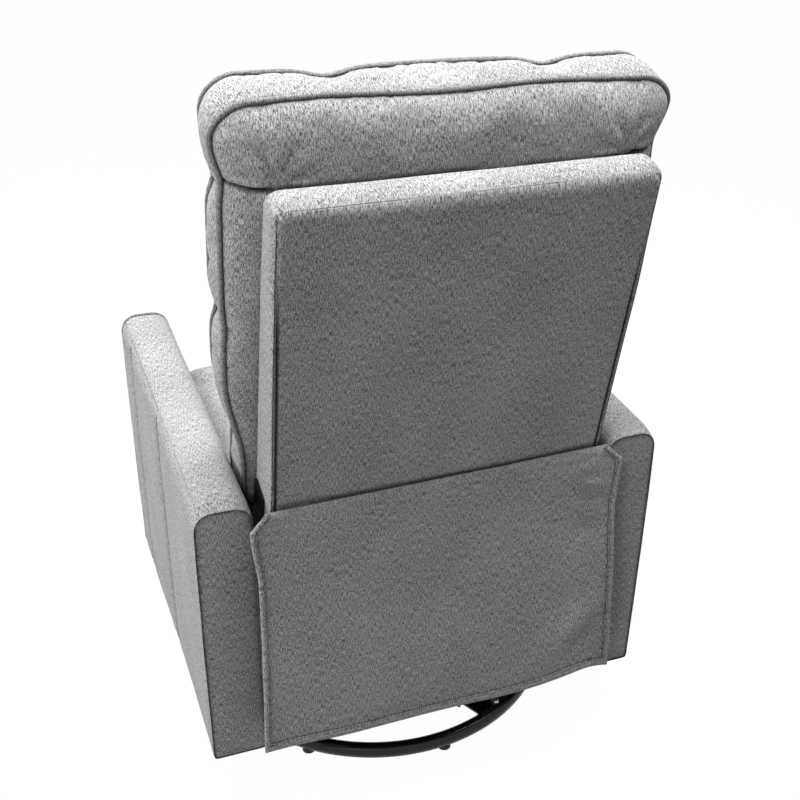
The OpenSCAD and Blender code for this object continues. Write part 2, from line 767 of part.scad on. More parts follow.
module arm_pad_left() placed() color("#a9a9ab") arm_pad_solid();
module arm_pad_right() placed() color("#a9a9ab") difference() {
  mirror([1, 0, 0]) arm_pad_solid();
  release_block();
}

arm_post_shares = [0, 0.55, 1];
module arm_frame() difference() {
  union() {
    intersection() {
      arm_cavity();
      union() {
        for (s = arm_post_shares)
          translate([0, -arm_front + arm_pad
            + s * (arm_front + arm_rear - 2 * arm_pad - board_t), 0])
            cube([chair_w, board_t, arm_top]);
        translate([0, -arm_front, arm_bottom]) cube([chair_w, chair_w, arm_pad + board_t]);
        translate([0, -arm_front, arm_top - arm_top_r - board_t])
          cube([chair_w, chair_w, board_t + arm_top_r]);
      }
    }
    translate([arm_in, -front_rail_y + board_t, seat_rail_top - side_rail_h])
      cube([arm_pad + board_t, front_rail_y + rear_rail_y - 2 * board_t, side_rail_h]);
  }
  at_arm_bolts() rotate([0, 90, 0]) cylinder(h = arm_bolt_len, d = bolt_d);
}

module arm_frame_left() placed() color("#c9a774") arm_frame();
module arm_frame_right() placed() color("#c9a774") mirror([1, 0, 0]) arm_frame();

// The seat cushion, a boxed cushion with a swollen top and a rolled front edge

seat_col_shares = [-1, -0.97, -0.9, -0.75, -0.5, -0.25, 0, 0.25, 0.5, 0.75, 0.9, 0.97, 1];
seat_row_shares = [0, 0.02, 0.05, 0.1, 0.2, 0.35, 0.5, 0.65, 0.8, 0.92, 0.98, 1];
seat_roll = 26;
seat_side_in = 5;
function swell(s, power) = 1 - pow(abs(s), power);
function roll_drop(d, r) = d >= r ? 0 : r - sqrt(r * r - (r - d) * (r - d));
function seat_top_z(s, t) = seat_edge_z
  + seat_crown * swell(s, 4) * swell(2 * t - 1, 4)
  - roll_drop(t * (seat_front + seat_rear), seat_roll) * seat_roll_share
  - seat_corner_drop * (1 - swell(s, 12));
seat_roll_share = 0.8;
seat_corner_drop = 3;

module seat_cushion() placed() color("#a9a9ab") {
  grid = function (f) [for (t = seat_row_shares) [for (s = seat_col_shares)
    [s * seat_half, -seat_front + t * (seat_front + seat_rear), f(s, t)]]];
  soft_solid(grid(function (s, t) seat_low_z), grid(function (s, t) seat_top_z(s, t)),
    function (a, b) [a[0] - sign(a[0]) * (abs(a[0]) < seat_half ? 0 : seat_side_in),
      a[1], (a[2] + b[2]) / 2]);
}

// The leg rest

module upper_leg_links() placed() color("#3a3b3d") both_sides() {
  link_bar(upper_x, link_t, [-leg_pivot_y, leg_pivot_z], [-knee_y, lift_z], link_w,
    [[-leg_pivot_y, leg_pivot_z, journal_d]], link_waist);
  difference() {
    x_rod(upper_x, link_t, [-leg_pivot_y, leg_pivot_z], link_eye_d);
    x_rod(upper_x - over, link_t + 2 * over, [-leg_pivot_y, leg_pivot_z], journal_d);
  }
  inner_pin([-(leg_pivot_y + knee_y) / 2, (leg_pivot_z + lift_z) / 2]);
  inner_pin([-knee_y, lift_z]);
}

// A riveted pin that reaches inwards from the outer layer of links
module inner_pin(p) {
  x_rod(lift_x - slide_gap, upper_x - lift_x + slide_gap, p, link_pin);
  x_rod(upper_x - link_head_t, link_head_t, p, link_head_d);
  x_rod(lift_x - slide_gap - link_head_t, link_head_t, p, link_head_d);
}

module torque_tube() placed() color("#3a3b3d") {
  x_rod(-upper_x, 2 * upper_x, [-leg_pivot_y, leg_pivot_z], torque_d);
  both_sides() x_rod(upper_x, side_plate_x + side_plate_t - upper_x,
    [-leg_pivot_y, leg_pivot_z], journal_d);
}

module lift_leg_links() placed() color("#3a3b3d") both_sides() {
  link_bar(lift_x, link_t, [-lift_y, lift_z], [-knee_y, leg_pivot_z], link_w,
    [[-(lift_y + knee_y) / 2, (lift_z + leg_pivot_z) / 2, link_pin + 2 * pin_gap]],
    link_waist);
  x_rod(lift_x + link_t, side_plate_x + side_plate_t + slide_gap - lift_x - link_t,
    [-lift_y, lift_z], link_pin);
  x_rod(side_plate_x + side_plate_t + slide_gap, link_head_t, [-lift_y, lift_z],
    link_head_d);
  x_rod(lift_x + link_t, link_head_t, [-knee_y, leg_pivot_z], link_head_d);
  x_rod(lift_x + link_t, upper_x + slide_gap - lift_x, [-knee_y, leg_pivot_z], link_pin);
  x_rod(upper_x + link_t + slide_gap, link_head_t - slide_gap, [-knee_y, leg_pivot_z],
    link_head_d);
}

module front_leg_links() placed() color("#3a3b3d") both_sides()
  link_bar(lift_x, link_t, [-knee_y, lift_z],
    [-(knee_y + fold_y / 2), (lift_z + leg_pivot_z) / 2], link_w,
    [[-knee_y, lift_z, link_pin + 2 * pin_gap],
     [-(knee_y + fold_y / 2), (lift_z + leg_pivot_z) / 2, link_pin + 2 * pin_gap]],
    link_waist);

module leg_rest_brackets() placed() color("#3a3b3d") both_sides() {
  knee = [-knee_y, leg_pivot_z];
  toe = [-knee_y - fold_y, lift_z];
  difference() {
    union() {
      link_bar(upper_x, link_t, knee, toe, link_w, [], link_waist);
      x_plate(upper_x, link_t, [[-leg_back, knee[1]], knee, toe, [-leg_back, toe[1]]]);
      translate([upper_x + link_t - leg_flange_w, -leg_back, toe[1]])
        cube([leg_flange_w, leg_flange_t, knee[1] - toe[1]]);
    }
    x_rod(upper_x - over, link_t + 2 * over, knee, link_pin + 2 * pin_gap);
    at_leg_screws() rotate([-90, 0, 0]) translate([0, 0, -over])
      cylinder(h = leg_flange_t + 2 * over, d = link_pin);
  }
  inner_pin((knee + toe) / 2);
}

leg_screw_shares = [0.15, 0.85];
module at_leg_screws() for (s = leg_screw_shares)
  translate([upper_x + link_t - leg_flange_w / 2 - link_t, -leg_back, lift_z + s * fold_z])
    children();

module leg_rest_screws() placed() color("#b8bcc0") both_sides() at_leg_screws()
  rotate([-90, 0, 0]) {
    translate([0, 0, -leg_board_t / 2]) cylinder(h = leg_board_t / 2 + leg_flange_t, d = link_pin);
    translate([0, 0, leg_flange_t]) cylinder(h = link_t / 2, d = link_head_d);
  }

module leg_rest_board() placed() color("#c9a774") difference() {
  translate([-leg_half, -leg_back - leg_board_t, leg_low])
    cube([2 * leg_half, leg_board_t, leg_high - leg_low]);
  both_sides() at_leg_screws() rotate([-90, 0, 0])
    translate([0, 0, -leg_board_t / 2]) cylinder(h = leg_board_t, d = link_pin);
}

leg_crown = 14;
leg_col_shares = [-1, -0.98, -0.92, -0.7, -0.35, 0, 0.35, 0.7, 0.92, 0.98, 1];
leg_row_shares = [0, 0.04, 0.15, 0.35, 0.65, 0.85, 0.96, 1];
module leg_rest_pad() placed() color("#a9a9ab") {
  grid = function (f) [for (t = leg_row_shares) [for (s = leg_col_shares)
    [s * leg_half, f(s, t), leg_low + t * (leg_high - leg_low)]]];
  soft_solid(
    grid(function (s, t) -leg_front + leg_crown * (1 - swell(s, 8) * swell(2 * t - 1, 6))),
    grid(function (s, t) -leg_front + leg_pad_t), function (a, b) (a + b) / 2);
}

// The back, drawn upright and then leaned back about its lower rear edge

module leaned() placed() translate([0, back_y0, back_z0]) rotate([-back_tilt, 0, 0]) children();

function back_outline(inset) = [[-inset, inset], [-inset, back_len - inset],
  [-back_t_top + inset, back_len - inset], [-back_t_low + inset, inset]];

// A slab of the back box with rounded edges, drawn in by inset
module back_slab(half, inset) translate([-half, 0, 0]) rotate([90, 0, 90])
  linear_extrude(2 * half) hull() for (p = back_outline(back_edge_r))
    translate(p) circle(back_edge_r - inset, $fn = 24);

module back_cover() leaned() color("#9c9c9e") difference() {
  hull() {
    back_slab(back_half - back_edge_r, 0);
    back_slab(back_half - back_edge_r * round_shares[1], back_edge_r * round_shares[0]);
    back_slab(back_half, back_edge_r * round_shares[2]);
  }
  x_plate(-back_half + back_pad, 2 * (back_half - back_pad), back_outline(back_pad));
}

back_post_x = back_half - back_pad - board_t;
back_rail_shares = [0, 0.46, 1];
module back_frame() leaned() color("#c9a774") {
  both_sides() x_plate(back_post_x, board_t, back_outline(back_pad));
  intersection() {
    x_plate(-back_post_x, 2 * back_post_x, back_outline(back_pad));
    for (s = back_rail_shares)
      translate([-back_half, -back_t_low, back_rail_z(s)])
        cube([2 * back_half, back_t_low - back_pad, strap_w]);
  }
}

function back_rail_z(share) = back_pad + share * (back_len - 2 * back_pad - strap_w);

strap_shares = [0.28, 0.86];
module back_straps() leaned() color("#e2e2de") for (k = [1:len(back_rail_shares) - 1]) {
  low = back_rail_z(back_rail_shares[k - 1]) + strap_w;
  high = back_rail_z(back_rail_shares[k]) - strap_w;
  for (s = strap_shares)
    translate([-back_post_x, -back_pad - strap_t - back_edge_r, low + s * (high - low)])
      cube([2 * back_post_x, strap_t, strap_w]);
}

// The recline pivots

recline_local = back_local([recline_y, recline_z]);
function back_local(p) = let (d = p - [back_y0, back_z0])
  [d[0] * cos(back_tilt) - d[1] * sin(back_tilt),
   d[0] * sin(back_tilt) + d[1] * cos(back_tilt)];

module recline_brackets() leaned() color("#1c1c1e") both_sides()
  difference() {
    x_plate(recline_in - slide_gap, recline_t,
      [[-back_t_low + back_edge_r + recline_arm_w, back_edge_r],
       [-back_t_low + back_edge_r, back_edge_r],
       [-back_t_low + 2 * back_edge_r, recline_arm_h],
       [-back_t_low + 2 * back_edge_r + recline_arm_w, recline_arm_h]]);
    x_rod(recline_in - over, recline_t + 2 * over, recline_local, recline_pin);
  }

module recline_pins() placed() color("#b8bcc0") both_sides() {
  centre = [recline_y, recline_z];
  x_rod(recline_in - slide_gap, 2 * recline_t + washer_t + 2 * slide_gap, centre, recline_pin);
  x_rod(recline_in - slide_gap + recline_t, washer_t, centre, pin_head_d);
  x_rod(recline_out + recline_t + slide_gap, washer_t, centre, pin_head_d);
}

module recline_posts() placed() color("#1c1c1e") both_sides() difference() {
  union() {
    x_plate(recline_out, recline_t, [[rear_rail_y - recline_foot_len, seat_rail_top],
      [rear_rail_y, seat_rail_top], [recline_y + recline_pin, recline_z + recline_pin],
      [recline_y - recline_pin, recline_z + recline_pin]]);
    translate([seat_rail_in, rear_rail_y - recline_foot_len, seat_rail_top])
      cube([recline_out - seat_rail_in, recline_foot_len, recline_foot_t]);
  }
  x_rod(recline_out - over, recline_t + 2 * over, [recline_y, recline_z],
    recline_pin + 2 * pin_gap);
}

// The back cushion, drawn upright from its foot and then leaned back

cushion_seat_gap = 9;
cushion_z0 = seat_edge_z + seat_crown + cushion_seat_gap;
module cushion_leaned() placed() translate([0, cushion_y0, cushion_z0])
  rotate([-cushion_tilt, 0, 0]) children();

function cushion_local(p) = let (q = [back_y0 + p[0] * cos(back_tilt) + p[1] * sin(back_tilt),
    back_z0 - p[0] * sin(back_tilt) + p[1] * cos(back_tilt)] - [cushion_y0, cushion_z0])
  [q[0] * cos(cushion_tilt) - q[1] * sin(cushion_tilt),
   q[0] * sin(cushion_tilt) + q[1] * cos(cushion_tilt)];
box_low = cushion_local([-back_t_low, back_edge_r]);
box_high = cushion_local([-back_t_top, back_len - back_edge_r]);
function box_gap(v) = box_low[0]
  + (box_high[0] - box_low[0]) * (v - box_low[1]) / (box_high[1] - box_low[1]);

// Sewn rows up the cushion and sewn columns across it, as shares
row_seam_shares = [0.21, 0.52, 0.83];
col_seam_shares = [-0.5, 0.5];
cushion_row_shares = [0, 0.012, 0.035, 0.09, 0.16, 0.19, 0.21, 0.23, 0.26, 0.33, 0.4, 0.47,
  0.5, 0.52, 0.54, 0.57, 0.66, 0.75, 0.8, 0.83, 0.86, 0.9, 0.94, 0.97, 0.99, 1];
cushion_col_shares = [-1, -0.97, -0.88, -0.72, -0.58, -0.5, -0.42, -0.25, 0, 0.25, 0.42, 0.5,
  0.58, 0.72, 0.88, 0.97, 1];
narrow_share = 0.24;
wide_share = 0.36;
shoulder_share = 0.84;
side_flat_share = 0.72;
col_tuft_share = 0.5;

function ease(t) = let (c = min(max(t, 0), 1)) c * c * (3 - 2 * c);
function row_pull(v) = sum([for (r = row_seam_shares) bump(v, r * cushion_len, tuft_reach)]);
function cushion_side(v) = cushion_low_half
  + (cushion_half - cushion_low_half)
    * ease((v / cushion_len - narrow_share) / (wide_share - narrow_share))
  - row_pinch * row_pull(v)
  - roll_drop(cushion_len - v, cushion_corner) - roll_drop(v, cushion_low_corner);
function rim(t) = t <= 0 ? 1 : sqrt(max(0, 1 - t * t));
function across(s) = rim((abs(s) - side_flat_share) / (1 - side_flat_share));
function up_front(v) = rim((abs(2 * v / cushion_len - 1) - side_flat_share)
  / (1 - side_flat_share));
function tuft(s, v) = max(row_pull(v),
  col_tuft_share * sum([for (c = col_seam_shares) bump(s * cushion_half, c * cushion_half,
    tuft_reach)]));
function cushion_front(s, v) = -cushion_t
  - across(s) * up_front(v) * (cushion_crown - tuft_deep * tuft(s, v));
function cushion_rear(s, v) = let (top = shoulder_share * cushion_len)
  max(0, box_gap(min(v, top)) - 2 * soft_gap) * across(s)
  * rim((v - top) / (cushion_len - top));
cushion_side_in = 5;

module back_cushion() cushion_leaned() color("#a9a9ab") {
  grid = function (f) [for (t = cushion_row_shares) [for (s = cushion_col_shares)
    let (v = t * cushion_len) [s * cushion_side(v), f(s, v), v]]];
  soft_solid(grid(function (s, v) cushion_front(s, v)), grid(function (s, v) cushion_rear(s, v)),
    function (a, b) [a[0] * (1 - cushion_side_in / cushion_half), (a[1] + b[1]) / 2, a[2]]);
}

// The piping follows the cushion's outline, in front and at the rear
piping_rise_shares = [0, 0.08, 0.16, 0.21, 0.26, 0.34, 0.42, 0.48, 0.52, 0.56, 0.65, 0.74, 0.79,
  0.83, 0.87, 0.905, 0.94, 0.96, 0.98, 0.992, 1];
function piping_loop(y) = concat(
  [for (t = piping_rise_shares) [cushion_side(t * cushion_len), y, t * cushion_len]],
  [for (s = [0.5, 0, -0.5]) [s * (cushion_half - cushion_corner), y, cushion_len]],
  [for (k = [len(piping_rise_shares) - 1:-1:0]) let (v = piping_rise_shares[k] * cushion_len)
    [-cushion_side(v), y, v]],
  [for (s = [-0.5, 0, 0.5]) [s * (cushion_low_half - cushion_low_corner), y, 0]]);

module back_piping() cushion_leaned() color("#6f6f71") for (y = [0, -cushion_t])
  sweep(piping_loop(y), piping_d, [0, 1, 0], 8, true);

// The rear flap, a hanging sheet with soft folds

flap_top_y = back_y0 + (flap_top - back_z0) * tan(back_tilt) + flap_t / 2 + soft_gap;
flap_col_shares = [for (k = [-12:12]) k / 12];
flap_row_shares = [0, 0.06, 0.14, 0.24, 0.36, 0.5, 0.64, 0.78, 0.88, 0.945, 1];
flap_wave_shares = [1.6, 2.7];
function flap_side(t) = flap_half
  - max(0, t * (flap_top - flap_bottom) - (flap_top - flap_bottom - flap_corner));
function flap_y(s, t) = flap_low_y + (flap_top_y - flap_low_y) * ease(t)
  + flap_fold * (1 - t) * (sin(180 * flap_wave_shares[0] * s) * abs(s)
    + 0.5 * sin(180 * flap_wave_shares[1] * s * t));

module rear_flap() placed() color("#98989a") {
  grid = function (d) [for (t = flap_row_shares) [for (s = flap_col_shares)
    [s * flap_side(t), flap_y(s, t) + d, flap_bottom + t * (flap_top - flap_bottom)]]];
  soft_solid(grid(-flap_t / 2), grid(flap_t / 2), function (a, b) (a + b) / 2);
}

// The release handle in the outer face of the right arm

module release_block() translate([-release_in, -release_y, release_z]) {
  translate([-over, -release_w / 2, -release_h / 2]) cube([rim_t + over, release_w, release_h]);
  translate([0, -release_w / 2 + rim_w, -release_h / 2 + rim_w])
    cube([release_deep, release_w - 2 * rim_w, release_h - 2 * rim_w]);
}

module release_cup() placed() color("#161618") difference() {
  translate([-release_in, -release_y, release_z]) {
    translate([0, -release_w / 2, -release_h / 2]) cube([rim_t, release_w, release_h]);
    translate([0, -release_w / 2 + rim_w, -release_h / 2 + rim_w])
      cube([release_deep, release_w - 2 * rim_w, release_h - 2 * rim_w]);
  }
  translate([-release_in - over, -release_y - release_w / 2 + rim_w + cup_wall,
    release_z - release_h / 2 + rim_w + cup_wall])
    cube([release_deep - cup_wall + over, release_w - 2 * rim_w - 2 * cup_wall,
      release_h - 2 * rim_w - 2 * cup_wall]);
  translate([paddle_x, -release_y - release_w / 2, paddle_z]) rotate([-90, 0, 0])
    cylinder(h = release_w, d = paddle_pin_d + 2 * pin_gap);
}

paddle_x = -release_in + rim_t + paddle_t;
paddle_z = release_z + paddle_rise;
module release_paddle() placed() color("#161618") {
  translate([paddle_x, -release_y - release_w / 2 + rim_w, paddle_z]) rotate([-90, 0, 0])
    cylinder(h = release_w - 2 * rim_w, d = paddle_pin_d);
  translate([paddle_x - paddle_t / 2, -release_y - paddle_w / 2, paddle_z - paddle_drop])
    cube([paddle_t, paddle_w, paddle_drop]);
}

cable_low = 205;
cable_x = -(arm_in + arm_pad + board_t + cable_d);
cable_path = [[-release_in + release_deep, release_z], [cable_x - cable_d / 3, release_z],
  [cable_x, release_z - cable_d], [cable_x, cable_low + 3 * cable_d],
  [cable_x + cable_d, cable_low + cable_d], [cable_x + 3 * cable_d, cable_low],
  [-seat_rail_in, cable_low]];
module release_cable() placed() color("#161618")
  sweep([for (p = cable_path) [p[0], -release_y, p[1]]], cable_d, [0, 1, 0], 10, false);

base_ring();
base_cross();
foot_pads();
cross_bolts();
swivel_lower_plate();
swivel_bolts();
ball_cage();
bearing_balls();
swivel_upper_plate();
turntable_plate();
king_pin();
glide_brackets();
bracket_pins();
turntable_bolts();
front_glide_links();
rear_glide_links();
chassis_rails();
rail_pins();
cross_tubes();
side_plates();
plate_screws();
seat_side_rails();
seat_end_rails();
seat_springs();
spring_clips();
seat_cushion();
arm_pad_left();
arm_pad_right();
arm_frame_left();
arm_frame_right();
arm_bolts();
recline_posts();
release_cup();
release_cable();
release_paddle();
upper_leg_links();
torque_tube();
lift_leg_links();
front_leg_links();
leg_rest_brackets();
leg_rest_board();
leg_rest_pad();
leg_rest_screws();
back_cover();
back_frame();
back_straps();
recline_brackets();
recline_pins();
back_cushion();
back_piping();
rear_flap();
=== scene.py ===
"""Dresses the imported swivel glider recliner: upholstery, piping, hems, stitches, finishes and studio.

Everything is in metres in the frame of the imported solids. The front faces -Y and Z is up.
"""

import json
import math

import bmesh
import bpy
from mathutils import Matrix, Vector, noise


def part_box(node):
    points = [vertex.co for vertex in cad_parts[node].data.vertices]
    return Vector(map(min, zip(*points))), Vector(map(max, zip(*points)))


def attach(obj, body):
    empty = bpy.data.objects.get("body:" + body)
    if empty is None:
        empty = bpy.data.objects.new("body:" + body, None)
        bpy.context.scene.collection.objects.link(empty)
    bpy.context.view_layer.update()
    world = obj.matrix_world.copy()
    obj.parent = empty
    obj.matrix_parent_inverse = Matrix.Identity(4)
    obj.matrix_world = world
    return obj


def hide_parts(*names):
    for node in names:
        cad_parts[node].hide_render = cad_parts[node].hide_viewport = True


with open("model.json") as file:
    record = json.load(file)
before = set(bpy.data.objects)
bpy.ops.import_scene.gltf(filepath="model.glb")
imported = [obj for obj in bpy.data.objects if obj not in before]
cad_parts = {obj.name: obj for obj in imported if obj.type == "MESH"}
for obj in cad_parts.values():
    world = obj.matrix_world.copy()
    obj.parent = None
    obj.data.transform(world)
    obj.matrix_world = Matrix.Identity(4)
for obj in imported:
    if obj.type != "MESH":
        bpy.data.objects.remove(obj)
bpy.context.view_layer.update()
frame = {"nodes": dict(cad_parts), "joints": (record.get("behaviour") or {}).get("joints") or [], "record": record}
joints = {j["name"]: j for j in frame["joints"]}

# Real sizes of the upholstery in metres. Its solids have the same ones
AXIS_Y = joints["swivel"]["pos_m"][1]
ARM_TOP_R = 0.030
ARM_LOW_R = 0.009
CHANNELS = (0.095, 0.328)
FRONT_STRIP = 0.0085
BACK_HALF = 0.254
BACK_LEN = 0.633
BACK_T_TOP = 0.058
BACK_T_LOW = 0.097
BACK_TILT = math.radians(11.5)
BACK_FOOT = Vector((0, AXIS_Y + 0.280, 0.400))
CUSHION_HALF = 0.290
CUSHION_LOW_HALF = 0.266
CUSHION_LEN = 0.648
CUSHION_T = 0.067
CUSHION_CROWN = 0.032
CUSHION_TILT = math.radians(10.5)
CUSHION_FOOT = Vector((0, AXIS_Y + 0.195, 0.478))
CUSHION_CORNER = 0.039
CUSHION_LOW_CORNER = 0.034
# The piping is a hair thinner than its solid
PIPING_R = 0.0044

back_place = Matrix.Translation(BACK_FOOT) @ Matrix.Rotation(-BACK_TILT, 4, "X")
cushion_place = Matrix.Translation(CUSHION_FOOT) @ Matrix.Rotation(-CUSHION_TILT, 4, "X")


# Small sums


def ease(t):
    """A smooth step: 0 up to 0, and 1 from 1 on."""
    t = min(max(t, 0.0), 1.0)
    return t * t * (3 - 2 * t)


def fade(value, start, run):
    """A smooth step that begins at a start and is full after its run."""
    return ease((value - start) / run)


def arch(t):
    """Half a wave: 0 at both ends and 1 in the middle."""
    return math.sin(math.pi * min(max(t, 0), 1))


def bump(distance, reach):
    """A soft hill: 1 at no distance and about a third at its reach."""
    return math.exp(-((distance / reach) ** 2))


def groove(distance, depth, reach):
    """How deep a soft groove is at a distance from its middle."""
    return depth * bump(distance, reach)


def rim(t):
    """A quarter round: 1 up to 0, then falling to 0 at 1."""
    return 1.0 if t <= 0 else math.sqrt(max(0.0, 1 - t * t))


def round_off(distance, radius):
    """How far a rounded edge has dropped at a distance from where the faces would meet."""
    if distance >= radius:
        return 0.0
    return radius - math.sqrt(max(0.0, radius**2 - (radius - distance) ** 2))


def wander(point, size, seed):
    """A smooth unevenness from -1 to 1 with lumps of about that size."""
    return noise.noise(point / size + Vector((seed, 3.1 * seed, 7.7 * seed)))


def spread(low, high, step):
    """Evenly spaced places strictly between two values."""
    count = max(1, round((high - low) / step))
    return [low + (high - low) * k / count for k in range(1, count)]


def near(place, *reaches):
    """Places on both sides of a seam, and on it."""
    return [place] + [place + side * r for r in reaches for side in (-1, 1)]


# Cloth finishes


def new_material(name):
    """A material with its node tree and its principled shader."""
    material = bpy.data.materials.new(name)
    material.use_nodes = True
    tree = material.node_tree
    tree.nodes.clear()
    out = tree.nodes.new("ShaderNodeOutputMaterial")
    skin = tree.nodes.new("ShaderNodeBsdfPrincipled")
    tree.links.new(skin.outputs["BSDF"], out.inputs["Surface"])
    return material, tree, skin


def feed(tree, node, values):
    """Gives a node its values by name, for its inputs and settings, or links an input to an output."""
    for name, value in values.items():
        if isinstance(value, bpy.types.NodeSocket):
            tree.links.new(value, node.inputs[name])
        elif name in node.inputs:
            node.inputs[name].default_value = value
        else:
            setattr(node, name, value)


def add_node(tree, kind, **values):
    """A new node with its values."""
    node = tree.nodes.new("ShaderNode" + kind)
    feed(tree, node, values)
    return node


def add_relief(tree, skin, height, strength, distance):
    """Lets a value stand out of a surface."""
    relief = add_node(tree, "Bump", Height=height, Strength=strength, Distance=distance)
    feed(tree, skin, {"Normal": relief.outputs["Normal"]})


def stretched_noise(tree, source, scale, detail=2.0, rough=0.5):
    """Noise with a scale of its own along each axis."""
    place = add_node(tree, "Mapping", Vector=source, Scale=scale).outputs["Vector"]
    grain = add_node(tree, "TexNoise", Vector=place, Scale=1.0, Detail=detail, Roughness=rough)
    return grain.outputs["Fac"]


def math_node(tree, operation, a, b):
    """A sum of two values, each a number or what another node gives."""
    node = add_node(tree, "Math", operation=operation)
    for socket, value in zip(node.inputs, (a, b)):
        if isinstance(value, (int, float)):
            socket.default_value = value
        else:
            tree.links.new(value, socket)
    return node.outputs["Value"]


def ramp_node(tree, value, stops):
    """Turns a value into a colour."""
    ramp = add_node(tree, "ValToRGB", Fac=value)
    elements = ramp.color_ramp.elements
    while len(elements) < len(stops):
        elements.new(0.5)
    for element, (place, colour) in zip(elements, stops):
        element.position = place
        element.color = (*colour, 1)
    return ramp.outputs["Color"]


def grey(value):
    """A grey with a trace of blue."""
    return (value, value, value * 1.012)


def cloth_place(tree, on_solid):
    """The cloth's own coordinates, or those of an upright solid that it is wrapped round."""
    if not on_solid:
        return add_node(tree, "UVMap", uv_map="cloth").outputs["UV"]
    place = add_node(tree, "SeparateXYZ", Vector=add_node(tree, "TexCoord").outputs["Object"])
    along = math_node(tree, "ADD", place.outputs["X"], place.outputs["Y"])
    return add_node(tree, "CombineXYZ", X=along, Y=place.outputs["Z"]).outputs["Vector"]


# The weave's layers of noise: scale across and along the warp, and the layer's share
WEAVE = (
    (1200, 110, 0.30),
    (1450, 260, 0.34),
    (2000, 560, 0.30),
)
CLOUDS = (11, 8, 1)
CLOUD_SHARE = 0.06
WEAVE_TONES = ((0.400, 0.08), (0.462, 0.20), (0.50, 0.335), (0.538, 0.475), (0.596, 0.61))
# How strongly painted shade darkens the cloth's colour in creases, from ambient occlusion, and along seams
CREASE_SHADE_POWER = 1.7
PAINTED_SEAM_SHADE = 0.84
THREAD_SHARE = 0.05


def heathered_cloth(name, tone=1.0, warp=1.0, on_solid=False):
    """A linen-look weave: dark and light slubs along the warp, finer threads and a faint relief, with painted
    shade in creases and along seams.
    """
    material, tree, skin = new_material(name)
    cloth = cloth_place(tree, on_solid)
    layers = []
    for across, along, share in WEAVE:
        slubs = stretched_noise(tree, cloth, (across * warp, along * warp, 1), detail=0.0)
        layers.append((slubs, share))
    layers.append((stretched_noise(tree, cloth, CLOUDS), CLOUD_SHARE))
    mixed = math_node(tree, "MULTIPLY", *layers[0])
    for layer, share in layers[1:]:
        mixed = math_node(tree, "ADD", mixed, math_node(tree, "MULTIPLY", layer, share))
    colour = ramp_node(tree, mixed, [(place, grey(value * tone)) for place, value in WEAVE_TONES])
    # Painted shade: ambient occlusion darkens the weave's colour in creases
    crease = add_node(tree, "AmbientOcclusion", samples=6, Distance=0.009)
    # Painted shade: the seam attribute darkens the weave's colour along sewn seams
    seam = add_node(tree, "Attribute", attribute_name="seam").outputs["Fac"]
    sewn = math_node(tree, "SUBTRACT", 1.0, math_node(tree, "MULTIPLY", seam, PAINTED_SEAM_SHADE))
    crease_shade = math_node(tree, "POWER", crease.outputs["AO"], CREASE_SHADE_POWER)
    shown = math_node(tree, "MULTIPLY", crease_shade, sewn)
    shaded = add_node(tree, "VectorMath", operation="SCALE", Vector=colour, Scale=shown)
    feed(tree, skin, {"Base Color": shaded.outputs["Vector"], "Roughness": 0.92,
                      "Specular IOR Level": 0.18, "Sheen Weight": 0.10, "Sheen Roughness": 0.55})
    threads = add_node(tree, "TexWave", Vector=cloth, Scale=140.0, Distortion=1.5, Detail=1.0)
    raised = math_node(tree, "MULTIPLY", threads.outputs["Fac"], THREAD_SHARE)
    add_relief(tree, skin, math_node(tree, "ADD", raised, mixed), strength=0.30, distance=0.0006)
    return material


grey_cloth = heathered_cloth("grey_cloth")
# The piping's darker tone is partly painted shade on the round piping and partly the cloth cut on the bias
piping_cloth = heathered_cloth("piping_cloth", tone=0.72, warp=1.2)
rail_cloth = heathered_cloth("rail_cloth", on_solid=True)


# How far a finish strays from its own tone and roughness
TONE_LOW, TONE_HIGH = 0.86, 1.14
ROUGH_LOW, ROUGH_HIGH = 0.82, 1.22
FINISH_CLOUDS = (14, 14, 14)


def plain_finish(name, colour, roughness, metallic=0.0, grain=0.0, grain_size=400.0, shine=0.5):
    """A paint, metal, plastic or rubber with an uneven gloss and, if it has a grain, a faint relief."""
    material, tree, skin = new_material(name)
    place = add_node(tree, "TexCoord").outputs["Object"]
    cloudy = stretched_noise(tree, place, FINISH_CLOUDS, detail=4.0)
    low = tuple(c * TONE_LOW for c in colour)
    high = tuple(min(1.0, c * TONE_HIGH) for c in colour)
    uneven = add_node(tree, "MapRange", Value=cloudy)
    feed(tree, uneven, {"To Min": roughness * ROUGH_LOW, "To Max": min(1.0, roughness * ROUGH_HIGH)})
    feed(tree, skin, {"Base Color": ramp_node(tree, cloudy, [(0.3, low), (0.7, high)]),
                      "Roughness": uneven.outputs["Result"], "Metallic": metallic,
                      "Specular IOR Level": shine})
    if grain:
        fine = stretched_noise(tree, place, (grain_size,) * 3)
        add_relief(tree, skin, fine, strength=grain, distance=0.0004)
    return material


WOOD_RINGS = (60, 9, 60)
WOOD_PORES = (700, 60, 700)
RING_SHARE = 0.75
WOOD_TONES = ((0.32, (0.36, 0.21, 0.10)), (0.5, (0.60, 0.41, 0.22)), (0.68, (0.74, 0.56, 0.34)))


def sawn_wood(name):
    """Pale wood with rings and pores along Y."""
    material, tree, skin = new_material(name)
    place = add_node(tree, "TexCoord").outputs["Object"]
    rings = stretched_noise(tree, place, WOOD_RINGS, detail=5.0, rough=0.6)
    pores = stretched_noise(tree, place, WOOD_PORES)
    rings = math_node(tree, "MULTIPLY", rings, RING_SHARE)
    pores = math_node(tree, "MULTIPLY", pores, 1 - RING_SHARE)
    mixed = math_node(tree, "ADD", rings, pores)
    feed(tree, skin, {"Base Color": ramp_node(tree, mixed, WOOD_TONES), "Roughness": 0.72})
    add_relief(tree, skin, mixed, strength=0.25, distance=0.0006)
    return material


thread = plain_finish("thread", (0.17, 0.17, 0.175), 0.6)

